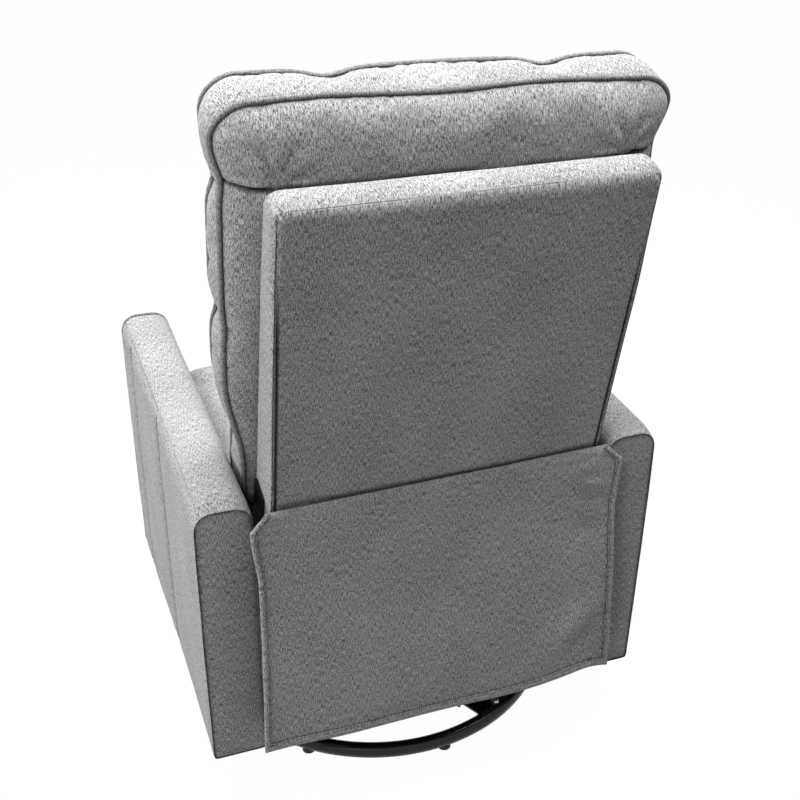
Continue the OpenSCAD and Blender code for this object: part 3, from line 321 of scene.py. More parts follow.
NODE_FINISH = {
    "black_steel": plain_finish("black_paint", (0.005, 0.005, 0.0055), 0.24, grain=0.12, shine=0.32),
    "link_steel": plain_finish("link_paint", (0.045, 0.046, 0.050), 0.42, metallic=0.4, grain=0.2),
    "zinc_steel": plain_finish("zinc", (0.55, 0.56, 0.58), 0.34, metallic=1.0, grain=0.2),
    "ball_steel": plain_finish("ball_steel", (0.70, 0.71, 0.73), 0.12, metallic=1.0),
    "foot_rubber": plain_finish("foot_rubber", (0.02, 0.02, 0.02), 0.75, grain=0.4),
    "black_plastic": plain_finish("black_plastic", (0.018, 0.018, 0.019), 0.45, grain=0.5, grain_size=1500),
    "webbing": plain_finish("webbing_cloth", (0.62, 0.60, 0.55), 0.85, grain=0.6, grain_size=900),
    "frame_wood": sawn_wood("pine"),
    "grey_fabric": grey_cloth,
    "flap_fabric": grey_cloth,
    "piping_fabric": piping_cloth,
}

# The seat's cover is carried over these rails
COVERED_NODES = ("seat_side_rails", "seat_end_rails")


def finish_solids():
    """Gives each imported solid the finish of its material."""
    for part in frame["record"]["subparts"]:
        solid = frame["nodes"][part["node"]]
        solid.data.materials.clear()
        covered = part["node"] in COVERED_NODES
        solid.data.materials.append(rail_cloth if covered else NODE_FINISH[part["material_slot"]])


# Making pieces


def cut_block(low, high, cuts):
    """A block of six grids, cut along planes square to each axis."""
    bm = bmesh.new()
    middle = (low + high) / 2
    size = Matrix.Diagonal((*(high - low), 1))
    bmesh.ops.create_cube(bm, size=1, matrix=Matrix.Translation(middle) @ size)
    for axis, places in enumerate(cuts):
        square = Vector((0, 0, 0))
        square[axis] = 1
        for place in sorted(set(round(p, 6) for p in places)):
            geometry = bm.verts[:] + bm.edges[:] + bm.faces[:]
            bmesh.ops.bisect_plane(bm, geom=geometry, dist=1e-7, plane_co=square * place,
                                   plane_no=square)
    return bm


# Faces that look another way take their cloth from another place of the weave
CLOTH_SHIFT = (0.37, 0.21)


def lay_cloth(bm):
    """Gives the faces their cloth coordinates in metres, with the warp up or along the piece."""
    layer = bm.loops.layers.uv.new("cloth")
    ways = ((1, 2), (0, 2), (0, 1))
    for face in bm.faces:
        axis = max(range(3), key=lambda k: abs(face.normal[k]))
        across, along = ways[axis]
        for loop in face.loops:
            point = loop.vert.co
            loop[layer].uv = (point[across] + CLOTH_SHIFT[0] * axis, point[along] + CLOTH_SHIFT[1] * axis)


def edge_cuts(low, high, steps):
    """Cuts at the same steps from both ends of a block."""
    return [low + step for step in steps] + [high - step for step in steps]


ON_FACE = 1e-5


def side_of(point, low, high):
    """The faces of the block that a corner lies on, as a set of signed axis numbers."""
    found = set()
    for axis in range(3):
        if point[axis] < low[axis] + ON_FACE:
            found.add(-(axis + 1))
        if point[axis] > high[axis] - ON_FACE:
            found.add(axis + 1)
    return found


def new_object(name, data):
    """An object that is in the scene."""
    made = bpy.data.objects.new(name, data)
    bpy.context.scene.collection.objects.link(made)
    return made


def finish_piece(name, bm, material, body, place=None):
    """Makes the object, gives it its finish and lets it ride on its body."""
    if place is not None:
        bmesh.ops.transform(bm, matrix=place, verts=bm.verts)
    bmesh.ops.recalc_face_normals(bm, faces=bm.faces)
    mesh = bpy.data.meshes.new(name)
    bm.to_mesh(mesh)
    bm.free()
    for face in mesh.polygons:
        face.use_smooth = True
    mesh.materials.append(material)
    piece = new_object(name, mesh)
    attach(piece, body)
    return piece


def tube_loop(points, radius):
    """A round tube along a closed line of points, made as a curve and turned into a mesh."""
    curve = bpy.data.curves.new("tube", "CURVE")
    curve.dimensions = "3D"
    curve.bevel_depth = radius
    curve.bevel_resolution = 4
    line = curve.splines.new("POLY")
    line.points.add(len(points) - 1)
    for slot_point, point in zip(line.points, points):
        slot_point.co = (*point, 1)
    line.use_cyclic_u = True
    holder = bpy.data.objects.new("tube", curve)
    mesh = bpy.data.meshes.new_from_object(holder)
    bpy.data.objects.remove(holder)
    bpy.data.curves.remove(curve)
    return mesh


AIR_FRAMES = 20


def fill_with_air(piece, sewn, pressure, slack, reach, share=lambda place: 1.0):
    """Blows a sewn cover up as cloth, holding its seams, and keeps the shape that it takes.

    A point moves no further than the reach, and only by its share of the way.
    """
    scene = bpy.context.scene
    mesh = piece.data
    group = piece.vertex_groups.new(name="sewn")
    for weight, members in sewn.items():
        group.add(members, weight, "REPLACE")
    cloth = piece.modifiers.new("cloth", "CLOTH")
    held = cloth.settings
    held.quality = 6
    held.mass = 0.25
    held.tension_stiffness = 18
    held.compression_stiffness = 9
    held.shear_stiffness = 6
    held.bending_stiffness = 3.0
    held.vertex_group_mass = "sewn"
    held.use_pressure = True
    held.uniform_pressure_force = pressure
    held.shrink_min = -slack
    held.effector_weights.gravity = 0
    cloth.collision_settings.use_collision = False
    scene.frame_start, scene.frame_end = 1, AIR_FRAMES
    for frame_number in range(1, AIR_FRAMES + 1):
        scene.frame_set(frame_number)
    blown = piece.evaluated_get(bpy.context.evaluated_depsgraph_get())
    places = [vert.co.copy() for vert in blown.data.vertices]
    piece.modifiers.remove(cloth)
    piece.vertex_groups.remove(group)
    scene.frame_set(1)
    for vert, place in zip(mesh.vertices, places):
        step = place - vert.co
        if step.length > reach:
            step *= reach / step.length
        vert.co += step * share(vert.co)


# Arms


def corner_round(a, b, corner_a, corner_b):
    """Moves a point of a square corner onto a quarter disc about the corner's centre."""
    da, db = a - corner_a, b - corner_b
    reach = max(abs(da), abs(db))
    length = math.hypot(da, db)
    if length < 1e-9:
        return a, b
    return corner_a + da * reach / length, corner_b + db * reach / length


def rounded_section(x, z, low, high):
    """A point of the arm's cross-section after its corners have been rounded."""
    for side_x, centre in ((low.x, 1), (high.x, -1)):
        for side_z, rise, radius in ((high.z, -1, ARM_TOP_R), (low.z, 1, ARM_LOW_R)):
            cx, cz = side_x + centre * radius, side_z + rise * radius
            if (x - cx) * centre < 0 and (z - cz) * rise < 0:
                x, z = corner_round(x, z, cx, cz)
    return x, z


# The plastic cup of the release handle, and how far the cloth runs under its rim
CUP_LOW, CUP_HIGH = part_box("release_cup")
CUP_UNDER = 0.005
CUP_SINK = 0.0032
CUP_HOLE = 0.9 * CUP_UNDER
CUP_SLOPE = 0.006
ARM_SKIN = 0.02


def into_cup(y, z):
    """How far inside the cup's outline a point of the arm's side is."""
    return min(y - CUP_LOW.y, CUP_HIGH.y - y, z - CUP_LOW.z, CUP_HIGH.z - z)


ARM_EDGE_CUTS = (0.0012, 0.003, 0.006, 0.010, 0.015, 0.021, 0.027, 0.033)
ARM_CUT_FROM = 0.03
ARM_CUT_STEP = 0.014
CHANNEL_CUTS = (0.0012, 0.0026, 0.005, 0.009)
STRIP_CUTS = (0.0010, 0.0022, 0.0036)
CUP_CUTS = (-CUP_SLOPE, -0.002, 0.0, CUP_UNDER)


def arm_cuts(low, high, mirrored):
    """Where an arm's block is cut: closer together at edges, seams and the cup."""
    across, along, up = (edge_cuts(low[axis], high[axis], ARM_EDGE_CUTS) for axis in range(3))
    along += spread(low.y + ARM_CUT_FROM, high.y - ARM_CUT_FROM, ARM_CUT_STEP)
    up += spread(low.z + ARM_CUT_FROM, high.z - ARM_CUT_FROM, ARM_CUT_STEP)
    for channel in CHANNELS:
        along += near(low.y + channel, *CHANNEL_CUTS)
    along += near(low.y + FRONT_STRIP, *STRIP_CUTS)
    if mirrored:
        for inset in CUP_CUTS:
            along += [CUP_LOW.y + inset, CUP_HIGH.y - inset]
            up += [CUP_LOW.z + inset, CUP_HIGH.z - inset]
    return across, along, up


# Sewn grooves of the arms as depth and half width, and how far the painted shade along them reaches
STRIP_SEAM = (0.0054, 0.0022)
STRIP_SHADE_REACH = 0.0026
CHANNEL_SEAM = (0.0062, 0.0026)
CHANNEL_HOLLOW = (0.0034, 0.012)
CHANNEL_SHADE_REACH = 0.0050
EDGE_SEAM = (0.0010, 0.0030)
END_SEAM_IN = 0.0022
END_SEAM_FRONT = (0.0020, 0.0022)
END_SEAM_REAR = (0.0012, 0.0022)
# Where the channels begin below the arm's top, and their run until they are full
CHANNEL_FADE = (0.016, 0.012)
# How far the panels swell, and how the front end bulges, spreads, rises and hangs
SIDE_SWELL = 0.0016
END_CROWN = 0.0042
END_CROWN_RUN = 0.016
FRONT_BULGE = 0.009
FRONT_BULGE_RUN = 0.03
FRONT_SPREAD = 0.004
FRONT_RISE = 0.009
FRONT_HANG = 0.014
REAR_TOP_DIP = (0.007, 0.016)


def arm_seam_shade(point, faces, low, high, outer):
    """How much painted shade darkens the cloth along the sewn seams at a point of the arm."""
    from_front = point.y - low.y
    dark = bump(from_front - FRONT_STRIP, STRIP_SHADE_REACH) if faces & {1, -1, 3} else 0.0
    if outer in faces:
        shown = fade(high.z - point.z, *CHANNEL_FADE)
        dark = max([dark] + [shown * bump(from_front - c, CHANNEL_SHADE_REACH) for c in CHANNELS])
    return dark


def arm_shape(point, faces, low, high, mirrored, seed):
    """Rounds the padded arm, draws in its seams and lets its faces swell a little."""
    x, y, z = point
    outer = -1 if mirrored else 1
    section = min(x - low.x, high.x - x, z - low.z, high.z - z)
    x, z = rounded_section(x, z, low, high)
    moved = Vector((x, y, z))
    away = min(y - low.y, high.y - y)
    forward = (high.y - y) / (high.y - low.y)
    level = (z - low.z) / (high.z - low.z)
    edge_seam = groove(away, *EDGE_SEAM)
    strip_seam = groove(y - low.y - FRONT_STRIP, *STRIP_SEAM)
    if faces & {2, -2}:
        end = 1 if 2 in faces else -1
        sewn = min(x - low.x, high.x - x, high.z - z) - END_SEAM_IN
        sunk = groove(sewn, *(END_SEAM_REAR if end > 0 else END_SEAM_FRONT))
        crown = END_CROWN * (1 - math.exp(-section / END_CROWN_RUN)) + 0.0008 * wander(moved, 0.07, seed)
        bulge = FRONT_BULGE * min(1.0, section / FRONT_BULGE_RUN) if end < 0 else 0.0
        moved.y += end * (crown - sunk - END_CROWN) - bulge
    else:
        moved.y += (0.0006 if y < 0 else -0.0006) * bump(away, 0.004)
    if faces & {1, -1}:
        side = 1 if 1 in faces else -1
        soft = SIDE_SWELL * arch(level) - SIDE_SWELL + 0.0007 * wander(moved, 0.09, seed + 1)
        if side == outer:
            shown = fade(high.z - z, *CHANNEL_FADE)
            for channel in CHANNELS:
                off = y - (low.y + channel)
                soft -= shown * (groove(off, *CHANNEL_SEAM) + groove(off, *CHANNEL_HOLLOW))
        moved.x += side * (soft - (edge_seam + strip_seam))
    if 3 in faces:
        moved.z += 0.0009 * wander(moved, 0.08, seed + 2) - 0.0010 - edge_seam
        moved.z -= strip_seam
    if -3 in faces:
        moved.z += 0.0016 * wander(Vector((0, moved.y, 0)), 0.06, seed + 3) + 0.0012
    moved.x += outer * FRONT_SPREAD * fade(forward, 0.3, 0.7)
    moved.z += level**3 * (FRONT_RISE * fade(forward, 0.4, 0.6) - groove(high.y - y, *REAR_TOP_DIP))
    moved.z -= (1 - level) ** 3 * FRONT_HANG * fade(forward, 0.25, 0.75)
    if mirrored and -1 in faces:
        under = ease((into_cup(y, z) + CUP_SLOPE) / CUP_SLOPE)
        moved.x += (low.x + CUP_SINK - moved.x) * under
    return moved


def open_over_cup(bm, low):
    """Cuts the cover of the right arm away inside the strip that runs under the cup's rim."""
    hole = []
    for face in bm.faces:
        middle = face.calc_center_median()
        if middle.x < low.x + ARM_SKIN and into_cup(middle.y, middle.z) > CUP_HOLE:
            hole.append(face)
    bmesh.ops.delete(bm, geom=hole, context="FACES")


ARM_SEEDS = {"left": 5, "right": 11}


def padded_arm(side):
    """The padded cover of one arm. The left one is on the side of +X."""
    node = "arm_pad_" + side
    low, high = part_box(node)
    mirrored = side == "right"
    bm = cut_block(low, high, arm_cuts(low, high, mirrored))
    # The seam attribute holds painted shade along the arm's seams
    seam = bm.verts.layers.float.new("seam")
    places = {v: side_of(v.co, low, high) for v in bm.verts}
    lay_cloth(bm)
    for vert, faces in places.items():
        vert[seam] = arm_seam_shade(vert.co, faces, low, high, -1 if mirrored else 1)
        vert.co = arm_shape(vert.co, faces, low, high, mirrored, ARM_SEEDS[side])
    if mirrored:
        open_over_cup(bm, low)
    arm = finish_piece("arm_cover_" + side, bm, grey_cloth, "seat")
    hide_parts(node)


# Back box


SIDE_SEAM = 0.0086
SIDE_SEAM_GROOVE = (0.0042, 0.0018)
# How far the painted shade along the side seams reaches
SIDE_SEAM_SHADE_REACH = 0.0022
SIDE_ROUND = 0.007
SIDE_ROUND_TOP = 0.016
# Where the side seams and the crisp side edges begin below the box's top, and their run
SIDE_SEAM_FADE = (0.06, 0.16)
SIDE_ROUND_FADE = (0.03, 0.16)
TOP_ROUND_REAR = 0.027
TOP_ROUND_FRONT = 0.018
BACK_CORNER = 0.020
REAR_CROWN = 0.0030
REAR_CROWN_RUN = 0.14
REAR_CROWN_TOP = 0.04
BACK_EDGE_CUTS = (0.0015, 0.004, 0.008, 0.012, 0.017, 0.023, 0.029)
BACK_CUT_STEP = 0.02
BACK_CUT_ACROSS_FROM = 0.034
BACK_CUT_UP_FROM = 0.03
SIDE_SEAM_CUTS = (0.0011, 0.0024)
DEPTH_END_CUTS = (-0.02, -0.05, -0.95, -0.98)


def back_front_y(z):
    """Where the box's front face lies at a height. The box is thicker at its foot."""
    return -BACK_T_LOW + (BACK_T_LOW - BACK_T_TOP) * z / BACK_LEN


def back_cuts():
    """Where the box's block is cut. Its depth is counted in shares, from 0 behind to -1 in front."""
    insets = [*BACK_EDGE_CUTS, *near(SIDE_SEAM, *SIDE_SEAM_CUTS)]
    across = [side * (BACK_HALF - inset) for inset in insets for side in (-1, 1)]
    across += spread(-BACK_HALF + BACK_CUT_ACROSS_FROM, BACK_HALF - BACK_CUT_ACROSS_FROM, BACK_CUT_STEP)
    up = edge_cuts(0, BACK_LEN, BACK_EDGE_CUTS)
    up += spread(BACK_CUT_UP_FROM, BACK_LEN - BACK_CUT_UP_FROM, BACK_CUT_STEP)
    depth = [-k / 10 for k in range(1, 10)] + list(DEPTH_END_CUTS)
    return across, depth, up


def back_shape(point, faces):
    """The upholstered back box: soft upper edges, crisp sewn side edges and a flat crown."""
    x, depth, z = point
    share = -depth
    side = 1 if x > 0 else -1
    across = abs(x)
    from_side = BACK_HALF - across
    from_top = BACK_LEN - z
    front = back_front_y(z)
    y = front * share
    for face_y, way, radius in ((0.0, -1, TOP_ROUND_REAR), (front, 1, TOP_ROUND_FRONT)):
        cy, cz = face_y + way * radius, BACK_LEN - radius
        if from_top < radius and (y - cy) * way < 0:
            y, z = corner_round(y, z, cy, cz)
            break
    radius = SIDE_ROUND_TOP + (SIDE_ROUND - SIDE_ROUND_TOP) * fade(from_top, *SIDE_ROUND_FADE)
    for face_y, way in ((0.0, -1), (front, 1)):
        cy, cx = face_y + way * radius, BACK_HALF - radius
        if from_side < radius and (y - cy) * way < 0:
            y, across = corner_round(y, across, cy, cx)
            break
    cx, cz = BACK_HALF - BACK_CORNER, BACK_LEN - BACK_CORNER
    if across > cx and z > cz:
        across, z = corner_round(across, z, cx, cz)
    moved = Vector((side * across, y, z))
    soft = 0.0011 * wander(moved, 0.11, 21)
    if 2 in faces:
        crown = REAR_CROWN * (ease(from_side / REAR_CROWN_RUN) - 1) * ease(from_top / REAR_CROWN_TOP)
        seam = groove(from_side - SIDE_SEAM, *SIDE_SEAM_GROOVE) * fade(from_top, *SIDE_SEAM_FADE)
        moved.y += crown + soft - seam
    if -2 in faces:
        moved.y -= soft - 0.001
    if faces & {1, -1}:
        moved.x += side * (0.0018 * arch(share) + soft - 0.0020)
    if 3 in faces:
        moved.z += 0.0012 * arch(share) + soft - 0.0015 * ease(share / 0.25)
    return moved


def back_box():
    """The padded box of the back, shaped upright and then leaned into its place."""
    low, high = Vector((-BACK_HALF, -1, 0)), Vector((BACK_HALF, 0, BACK_LEN))
    bm = cut_block(low, high, back_cuts())
    seam = bm.verts.layers.float.new("seam")
    places = {v: side_of(v.co, low, high) for v in bm.verts}
    for vert, faces in places.items():
        # Painted shade along the rear face's side seams, kept in the seam attribute
        if 2 in faces:
            line = bump(BACK_HALF - abs(vert.co.x) - SIDE_SEAM, SIDE_SEAM_SHADE_REACH)
            vert[seam] = 0.8 * fade(BACK_LEN - vert.co.z, *SIDE_SEAM_FADE) * line
        vert.co = back_shape(vert.co, faces)
    bm.normal_update()
    lay_cloth(bm)
    box = finish_piece("back_box_cover", bm, grey_cloth, "back", back_place)
    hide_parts("back_cover")


# Back cushion

# Heights of the sewn rows in front as shares of the cushion's length, and its sewn columns
ROW_SEAMS = (0.21, 0.52, 0.82)
COLUMN = 0.145
REAR_SEAM = 0.557
FULLEST = 0.610
# How far the outline is drawn in at a height, and how far out it goes at its fullest
FRONT_PINCH = ((0.136, 0.008), (0.337, 0.008), (0.528, 0.009)), 0.005
REAR_PINCH = ((0.136, 0.001), (0.337, 0.002), (0.555, 0.004)), 0.009
PINCH_REACH = 0.022
FULLEST_REACH = 0.040
WIDEN_FADE = (0.13, 0.27)
# The rear panel rests on the box up to here, and is free above
BOX_REACH = 0.84 * CUSHION_LEN
ABOVE_BOX = 0.16 * CUSHION_LEN
BOX_INSET = 0.012


def row_pull(v, reach):
    """How much the sewn rows pull at a height."""
    return sum(bump(v - r * CUSHION_LEN, reach) for r in ROW_SEAMS)


def cushion_side(v, pinch=FRONT_PINCH):
    """Half width at a height: the cover is drawn in at its sewn rows and is fullest above them."""
    widen = fade(v / CUSHION_LEN, *WIDEN_FADE)
    half = CUSHION_LOW_HALF + (CUSHION_HALF - CUSHION_LOW_HALF) * widen
    drawn_in, full = pinch
    for height, depth in drawn_in:
        half -= depth * bump(v - height, PINCH_REACH)
    half += full * bump(v - FULLEST, FULLEST_REACH)
    half -= round_off(CUSHION_LEN - v, CUSHION_CORNER) + round_off(v, CUSHION_LOW_CORNER)
    return half


def cushion_gap(v):
    """Depth from the rear piping's plane to the front of the back box."""
    to_cushion = cushion_place.inverted()
    foot = to_cushion @ (back_place @ Vector((0, -BACK_T_LOW, BOX_INSET)))
    head = to_cushion @ (back_place @ Vector((0, -BACK_T_TOP, BACK_LEN - BOX_INSET)))
    return foot.y + (head.y - foot.y) * (v - foot.z) / (head.z - foot.z)


# Front panel: how far rows, columns and the knots where they cross reach and pull
ROW_WIDTH = 0.020
COLUMN_WIDTH = 0.016
COLUMN_PULL = 0.42
SEAM_PULL = 0.52
KNOT_WIDTH = 0.03
KNOT_DEPTH = 0.005


def front_face(s, v):
    """Depth of the channelled front panel."""
    edge_x = rim((abs(s) - 0.55) / 0.45)
    edge_v = rim((abs(2 * v / CUSHION_LEN - 1) - 0.72) / 0.28)
    x = s * CUSHION_HALF
    columns = sum(bump(x - side * COLUMN, COLUMN_WIDTH) for side in (-1, 1))
    knots = sum(bump(x - side * COLUMN, KNOT_WIDTH) for side in (-1, 1)) * row_pull(v, KNOT_WIDTH)
    pull = max(row_pull(v, ROW_WIDTH), COLUMN_PULL * columns)
    depth = CUSHION_CROWN * edge_x * edge_v * (1 - SEAM_PULL * pull) - KNOT_DEPTH * knots
    soft = 0.0016 * wander(Vector((x, 0, v)), 0.05, 31) * edge_x * edge_v
    return -CUSHION_T - depth + soft


# Rear panel: its clearance from the box, its unevenness, and the gap that lets it be uneven
BOX_CLEARANCE = 0.0015
REAR_UNEVEN = 0.0022
FREE_GAP = 0.02
REAR_SEAM_DEPTH = 0.006


def rear_face(s, v):
    """Depth of the plain rear panel, which swells out over the box's top."""
    edge_x = rim((abs(s) - 0.70) / 0.30)
    x = s * CUSHION_HALF
    gap = max(0.0, cushion_gap(min(v, BOX_REACH)) - BOX_CLEARANCE)
    above = rim((v - BOX_REACH) / ABOVE_BOX)
    seam = REAR_SEAM_DEPTH * bump(v - REAR_SEAM, 0.006) * ease((abs(s) - 0.5) / 0.3)
    free = min(1.0, gap / FREE_GAP)
    soft = REAR_UNEVEN * wander(Vector((x, 0, v)), 0.06, 37) * free - REAR_UNEVEN * free
    return gap * edge_x * above - seam * edge_x + soft * edge_x * above


TOP_RUN = 0.09


def near_top(v):
    """0 on the cushion's sides and 1 at its top."""
    return ease((v - CUSHION_LEN + TOP_RUN) / TOP_RUN)


def front_rim_drop(x, v):
    """The front piping dips where the sewn columns meet the cushion's top."""
    return near_top(v) * (0.009 * bump(abs(x) - COLUMN, 0.030) - 0.002 * bump(x, 0.08) - 0.017 * x)


def rear_rim_drop(x, v):
    """The rear piping waves a little along the cushion's top."""
    return near_top(v) * (0.0022 * math.sin(x / 0.045 + 1.0) + 0.001 - 0.010 * x)


def row_places(count):
    """Rows that lie closer together towards both ends of the cushion."""
    return [0.5 - 0.5 * math.cos(math.pi * k / count) for k in range(count + 1)]


CUSHION_ROWS = 118
SEAM_ROWS = (0.001, 0.003, 0.0055, 0.009)
COLUMNS_BUNCHED = 0.35


def cushion_rows():
    """The heights of the grid's rows as shares, with more of them at the rear panel's seam."""
    rows = row_places(CUSHION_ROWS - 2 * len(SEAM_ROWS))
    seam = REAR_SEAM / CUSHION_LEN
    for reach in SEAM_ROWS:
        rows += [seam + side * reach / CUSHION_LEN for side in (-1, 1)]
    return sorted(rows)


def cushion_half_panel(bm, depth, rim_drop, pinch):
    """One face of the cushion as a grid that follows the outline."""
    made = bmesh.ops.create_grid(bm, x_segments=88, y_segments=CUSHION_ROWS, size=1)
    rows = cushion_rows()
    border = set()
    for vert in made["verts"]:
        bunched = math.sin(vert.co.x * math.pi / 2)
        s = bunched * COLUMNS_BUNCHED + vert.co.x * (1 - COLUMNS_BUNCHED)
        row = round((vert.co.y + 1) / 2 * CUSHION_ROWS)
        v = rows[row] * CUSHION_LEN
        x = s * cushion_side(v, pinch)
        if abs(vert.co.x) > 0.9999 or row in (0, CUSHION_ROWS):
            border.add(vert)
        vert.co = Vector((x, depth(s, v), v - rim_drop(x, v)))
    return [e for e in bm.edges if e.verts[0] in border and e.verts[1] in border and e.is_boundary]


def outline_out(x, v):
    """The way out of the cushion's outline at a point of its rim."""
    for height, radius, way in ((CUSHION_LEN, CUSHION_CORNER, 1), (0.0, CUSHION_LOW_CORNER, -1)):
        rise = (v - (height - way * radius)) * way
        if rise > 0:
            reach = cushion_side(height - way * radius) - radius
            run = max(0.0, abs(x) - reach)
            out = Vector((math.copysign(run, x), 0, way * rise))
            return out.normalized() if out.length > 1e-6 else Vector((0, 0, way))
    return Vector((math.copysign(1, x), 0, 0))


# The band between the two pipings: its swell, how much the rows flatten it, and its sewn rims
BAND_SWELL = 0.0070
BAND_PINCH = 0.55
BAND_TUCK = 0.004
BAND_TUCK_SHARE = 0.06


def swell_band(verts):
    """Rounds the band out between its two sewn rims."""
    for vert in verts:
        share = -vert.co.y / CUSHION_T
        pinch = min(1.0, row_pull(vert.co.z, 0.035))
        swell = BAND_SWELL * (1 - BAND_PINCH * pinch) * arch(share) ** 0.8
        tuck = BAND_TUCK * (bump(share, BAND_TUCK_SHARE) + bump(share - 1, BAND_TUCK_SHARE))
        soft = 0.0015 * wander(vert.co, 0.05, 41)
        vert.co += outline_out(vert.co.x, vert.co.z) * (swell - tuck + soft)


# Where the rear panel's seam begins beside the middle, and its run until it is full
REAR_SEAM_FADE = (0.22, 0.03)


def cushion_freedom(place):
    """The rear panel takes on little of the filled shape, because the photographed one is smooth."""
    return 1 - 0.62 * ease((place.y + 0.012) / 0.016)


def back_cushion():
    """The back cushion: two panels and a band between them, filled and leaned into its place."""
    bm = bmesh.new()
    dark = bm.verts.layers.float.new("seam")
    front = cushion_half_panel(bm, front_face, front_rim_drop, FRONT_PINCH)
    rear = cushion_half_panel(bm, rear_face, rear_rim_drop, REAR_PINCH)
    band = bmesh.ops.bridge_loops(bm, edges=front + rear)
    across = [e for e in band["edges"] if abs(e.verts[0].co.y - e.verts[1].co.y) > CUSHION_T / 2]
    bmesh.ops.recalc_face_normals(bm, faces=bm.faces)
    lay_cloth(bm)
    # Painted shade along the rear panel's seam, kept in the seam attribute
    for vert in bm.verts:
        if vert.co.y > -CUSHION_T / 2:
            vert[dark] = 0.7 * bump(vert.co.z - REAR_SEAM, 0.0028) * fade(abs(vert.co.x), *REAR_SEAM_FADE)
    cut = bmesh.ops.subdivide_edges(bm, edges=across, cuts=9, use_grid_fill=True)
    swell_band([g for g in cut["geom_inner"] if isinstance(g, bmesh.types.BMVert)])
    cushion = finish_piece("back_cushion_cover", bm, grey_cloth, "back")
    sewn = cushion_seams(cushion.data)
    fill_with_air(cushion, sewn, pressure=3.5, slack=0.015, reach=0.024, share=cushion_freedom)
    for vert in cushion.data.vertices:
        clear_neighbours(vert)
    cushion.data.transform(cushion_place)
    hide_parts("back_cushion")


ON_RIM = 1e-5
ON_BOX = 0.004
OFF_RIM = 0.001


def cushion_seams(mesh):
    """The cover's sewn points: both rims, the rows and columns in front and what rests on the box."""
    sewn = {1.0: [], 0.8: [], 0.5: []}
    for vert in mesh.vertices:
        x, y, v = vert.co
        in_front = y < -CUSHION_T - OFF_RIM
        if abs(y) < ON_RIM or abs(y + CUSHION_T) < ON_RIM:
            sewn[1.0].append(vert.index)
        elif y > -ON_BOX and y > cushion_gap(v) - ON_BOX and v < BOX_REACH:
            sewn[1.0].append(vert.index)
        elif in_front and row_pull(v, 0.006) > 0.5:
            sewn[0.8].append(vert.index)
        elif in_front and abs(abs(x) - COLUMN) < 0.004:
            sewn[0.5].append(vert.index)
    return sewn


# The cushion's foot stays between the arms up to this height
ARM_ROOM_HALF = 0.2725
ARM_ROOM_TALL = 0.14
# Folds that run out all round from the inner ends of the rear seam
FOLD_X = 0.230
FOLD_UP = 0.012
FOLD_DEPTH = 0.0032
FOLD_RING = 0.026
FOLD_REACH = 0.018
FOLDS_ROUND = 7


def clear_neighbours(vert):
    """Keeps the filled cover off the back box and between the arms, and sews its rear seam."""
    x, y, v = vert.co
    if y > -0.02 and v < 0.86 * CUSHION_LEN and abs(x) < BACK_HALF + 0.004:
        vert.co.y = min(y, max(cushion_gap(v), 0.001) - 0.001)
    if v < ARM_ROOM_TALL:
        vert.co.x = math.copysign(min(abs(x), ARM_ROOM_HALF), x)
    if y > -0.004 and abs(x) > 0.15:
        over, up = abs(x) - FOLD_X, v - REAR_SEAM - FOLD_UP
        ring = bump(math.hypot(over, up) - FOLD_RING, FOLD_REACH)
        folds = FOLD_DEPTH * math.sin(math.atan2(up, over) * FOLDS_ROUND) * ring
        seam = REAR_SEAM_DEPTH * bump(v - REAR_SEAM, 0.0030) * fade(abs(x), *REAR_SEAM_FADE)
        vert.co.y -= seam * ease((y + 0.004) / 0.006) + folds * ease((y - 0.002) / 0.006)


PIPING_ROWS = 90
PIPING_HALF_FLAT = 24
PIPING_OUT = 0.0012


def piping_points(y, rim_drop, pinch):
    """A closed line round the cushion's outline, just outside its rim."""
    half = []
    for share in row_places(PIPING_ROWS):
        v = share * CUSHION_LEN
        half.append((cushion_side(v, pinch), v))
    flat = [1 - k / PIPING_HALF_FLAT for k in range(1, 2 * PIPING_HALF_FLAT)]
    top = [(half[-1][0] * share, CUSHION_LEN) for share in flat]
    foot = [(-half[0][0] * share, 0.0) for share in flat]
    points = []
    for x, v in half + top + [(-x, v) for x, v in reversed(half)] + foot:
        out = outline_out(x, v) * PIPING_OUT
        point = Vector((x, y, v - rim_drop(x, v))) + out
        points.append(cushion_place @ point)
    return points


def cushion_piping():
    """Both runs of piping as one piece."""
    bm = bmesh.new()
    for y, drop, pinch in ((-CUSHION_T, front_rim_drop, FRONT_PINCH), (0.0, rear_rim_drop, REAR_PINCH)):
        mesh = tube_loop(piping_points(y, drop, pinch), PIPING_R)
        bm.from_mesh(mesh)
        bpy.data.meshes.remove(mesh)
    lay_cloth(bm)
    piping = finish_piece("cushion_piping", bm, piping_cloth, "back")
    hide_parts("back_piping")


# Seat cushion and leg rest


PAD_EDGE_CUTS = (0.0015, 0.004, 0.008, 0.013, 0.019, 0.026, 0.034)
PAD_CUT_FROM = 0.036
PAD_CUT_STEP = 0.018
PAD_THIN = 0.04


def pillow_cuts(low, high):
    """Where a pad's block is cut along each axis. A thin one is cut at its edges only."""
    cuts = []
    for axis in range(3):
        room = (high[axis] - low[axis]) / 2
        places = edge_cuts(low[axis], high[axis], [e for e in PAD_EDGE_CUTS if e < room])
        if room > PAD_THIN:
            places += spread(low[axis] + PAD_CUT_FROM, high[axis] - PAD_CUT_FROM, PAD_CUT_STEP)
        cuts.append(places)
    return cuts


# A cover that is drawn over its board: how far it stands off it, and its small rear radius
WRAP_PROUD = 0.0040
WRAP_EDGE = 0.0020
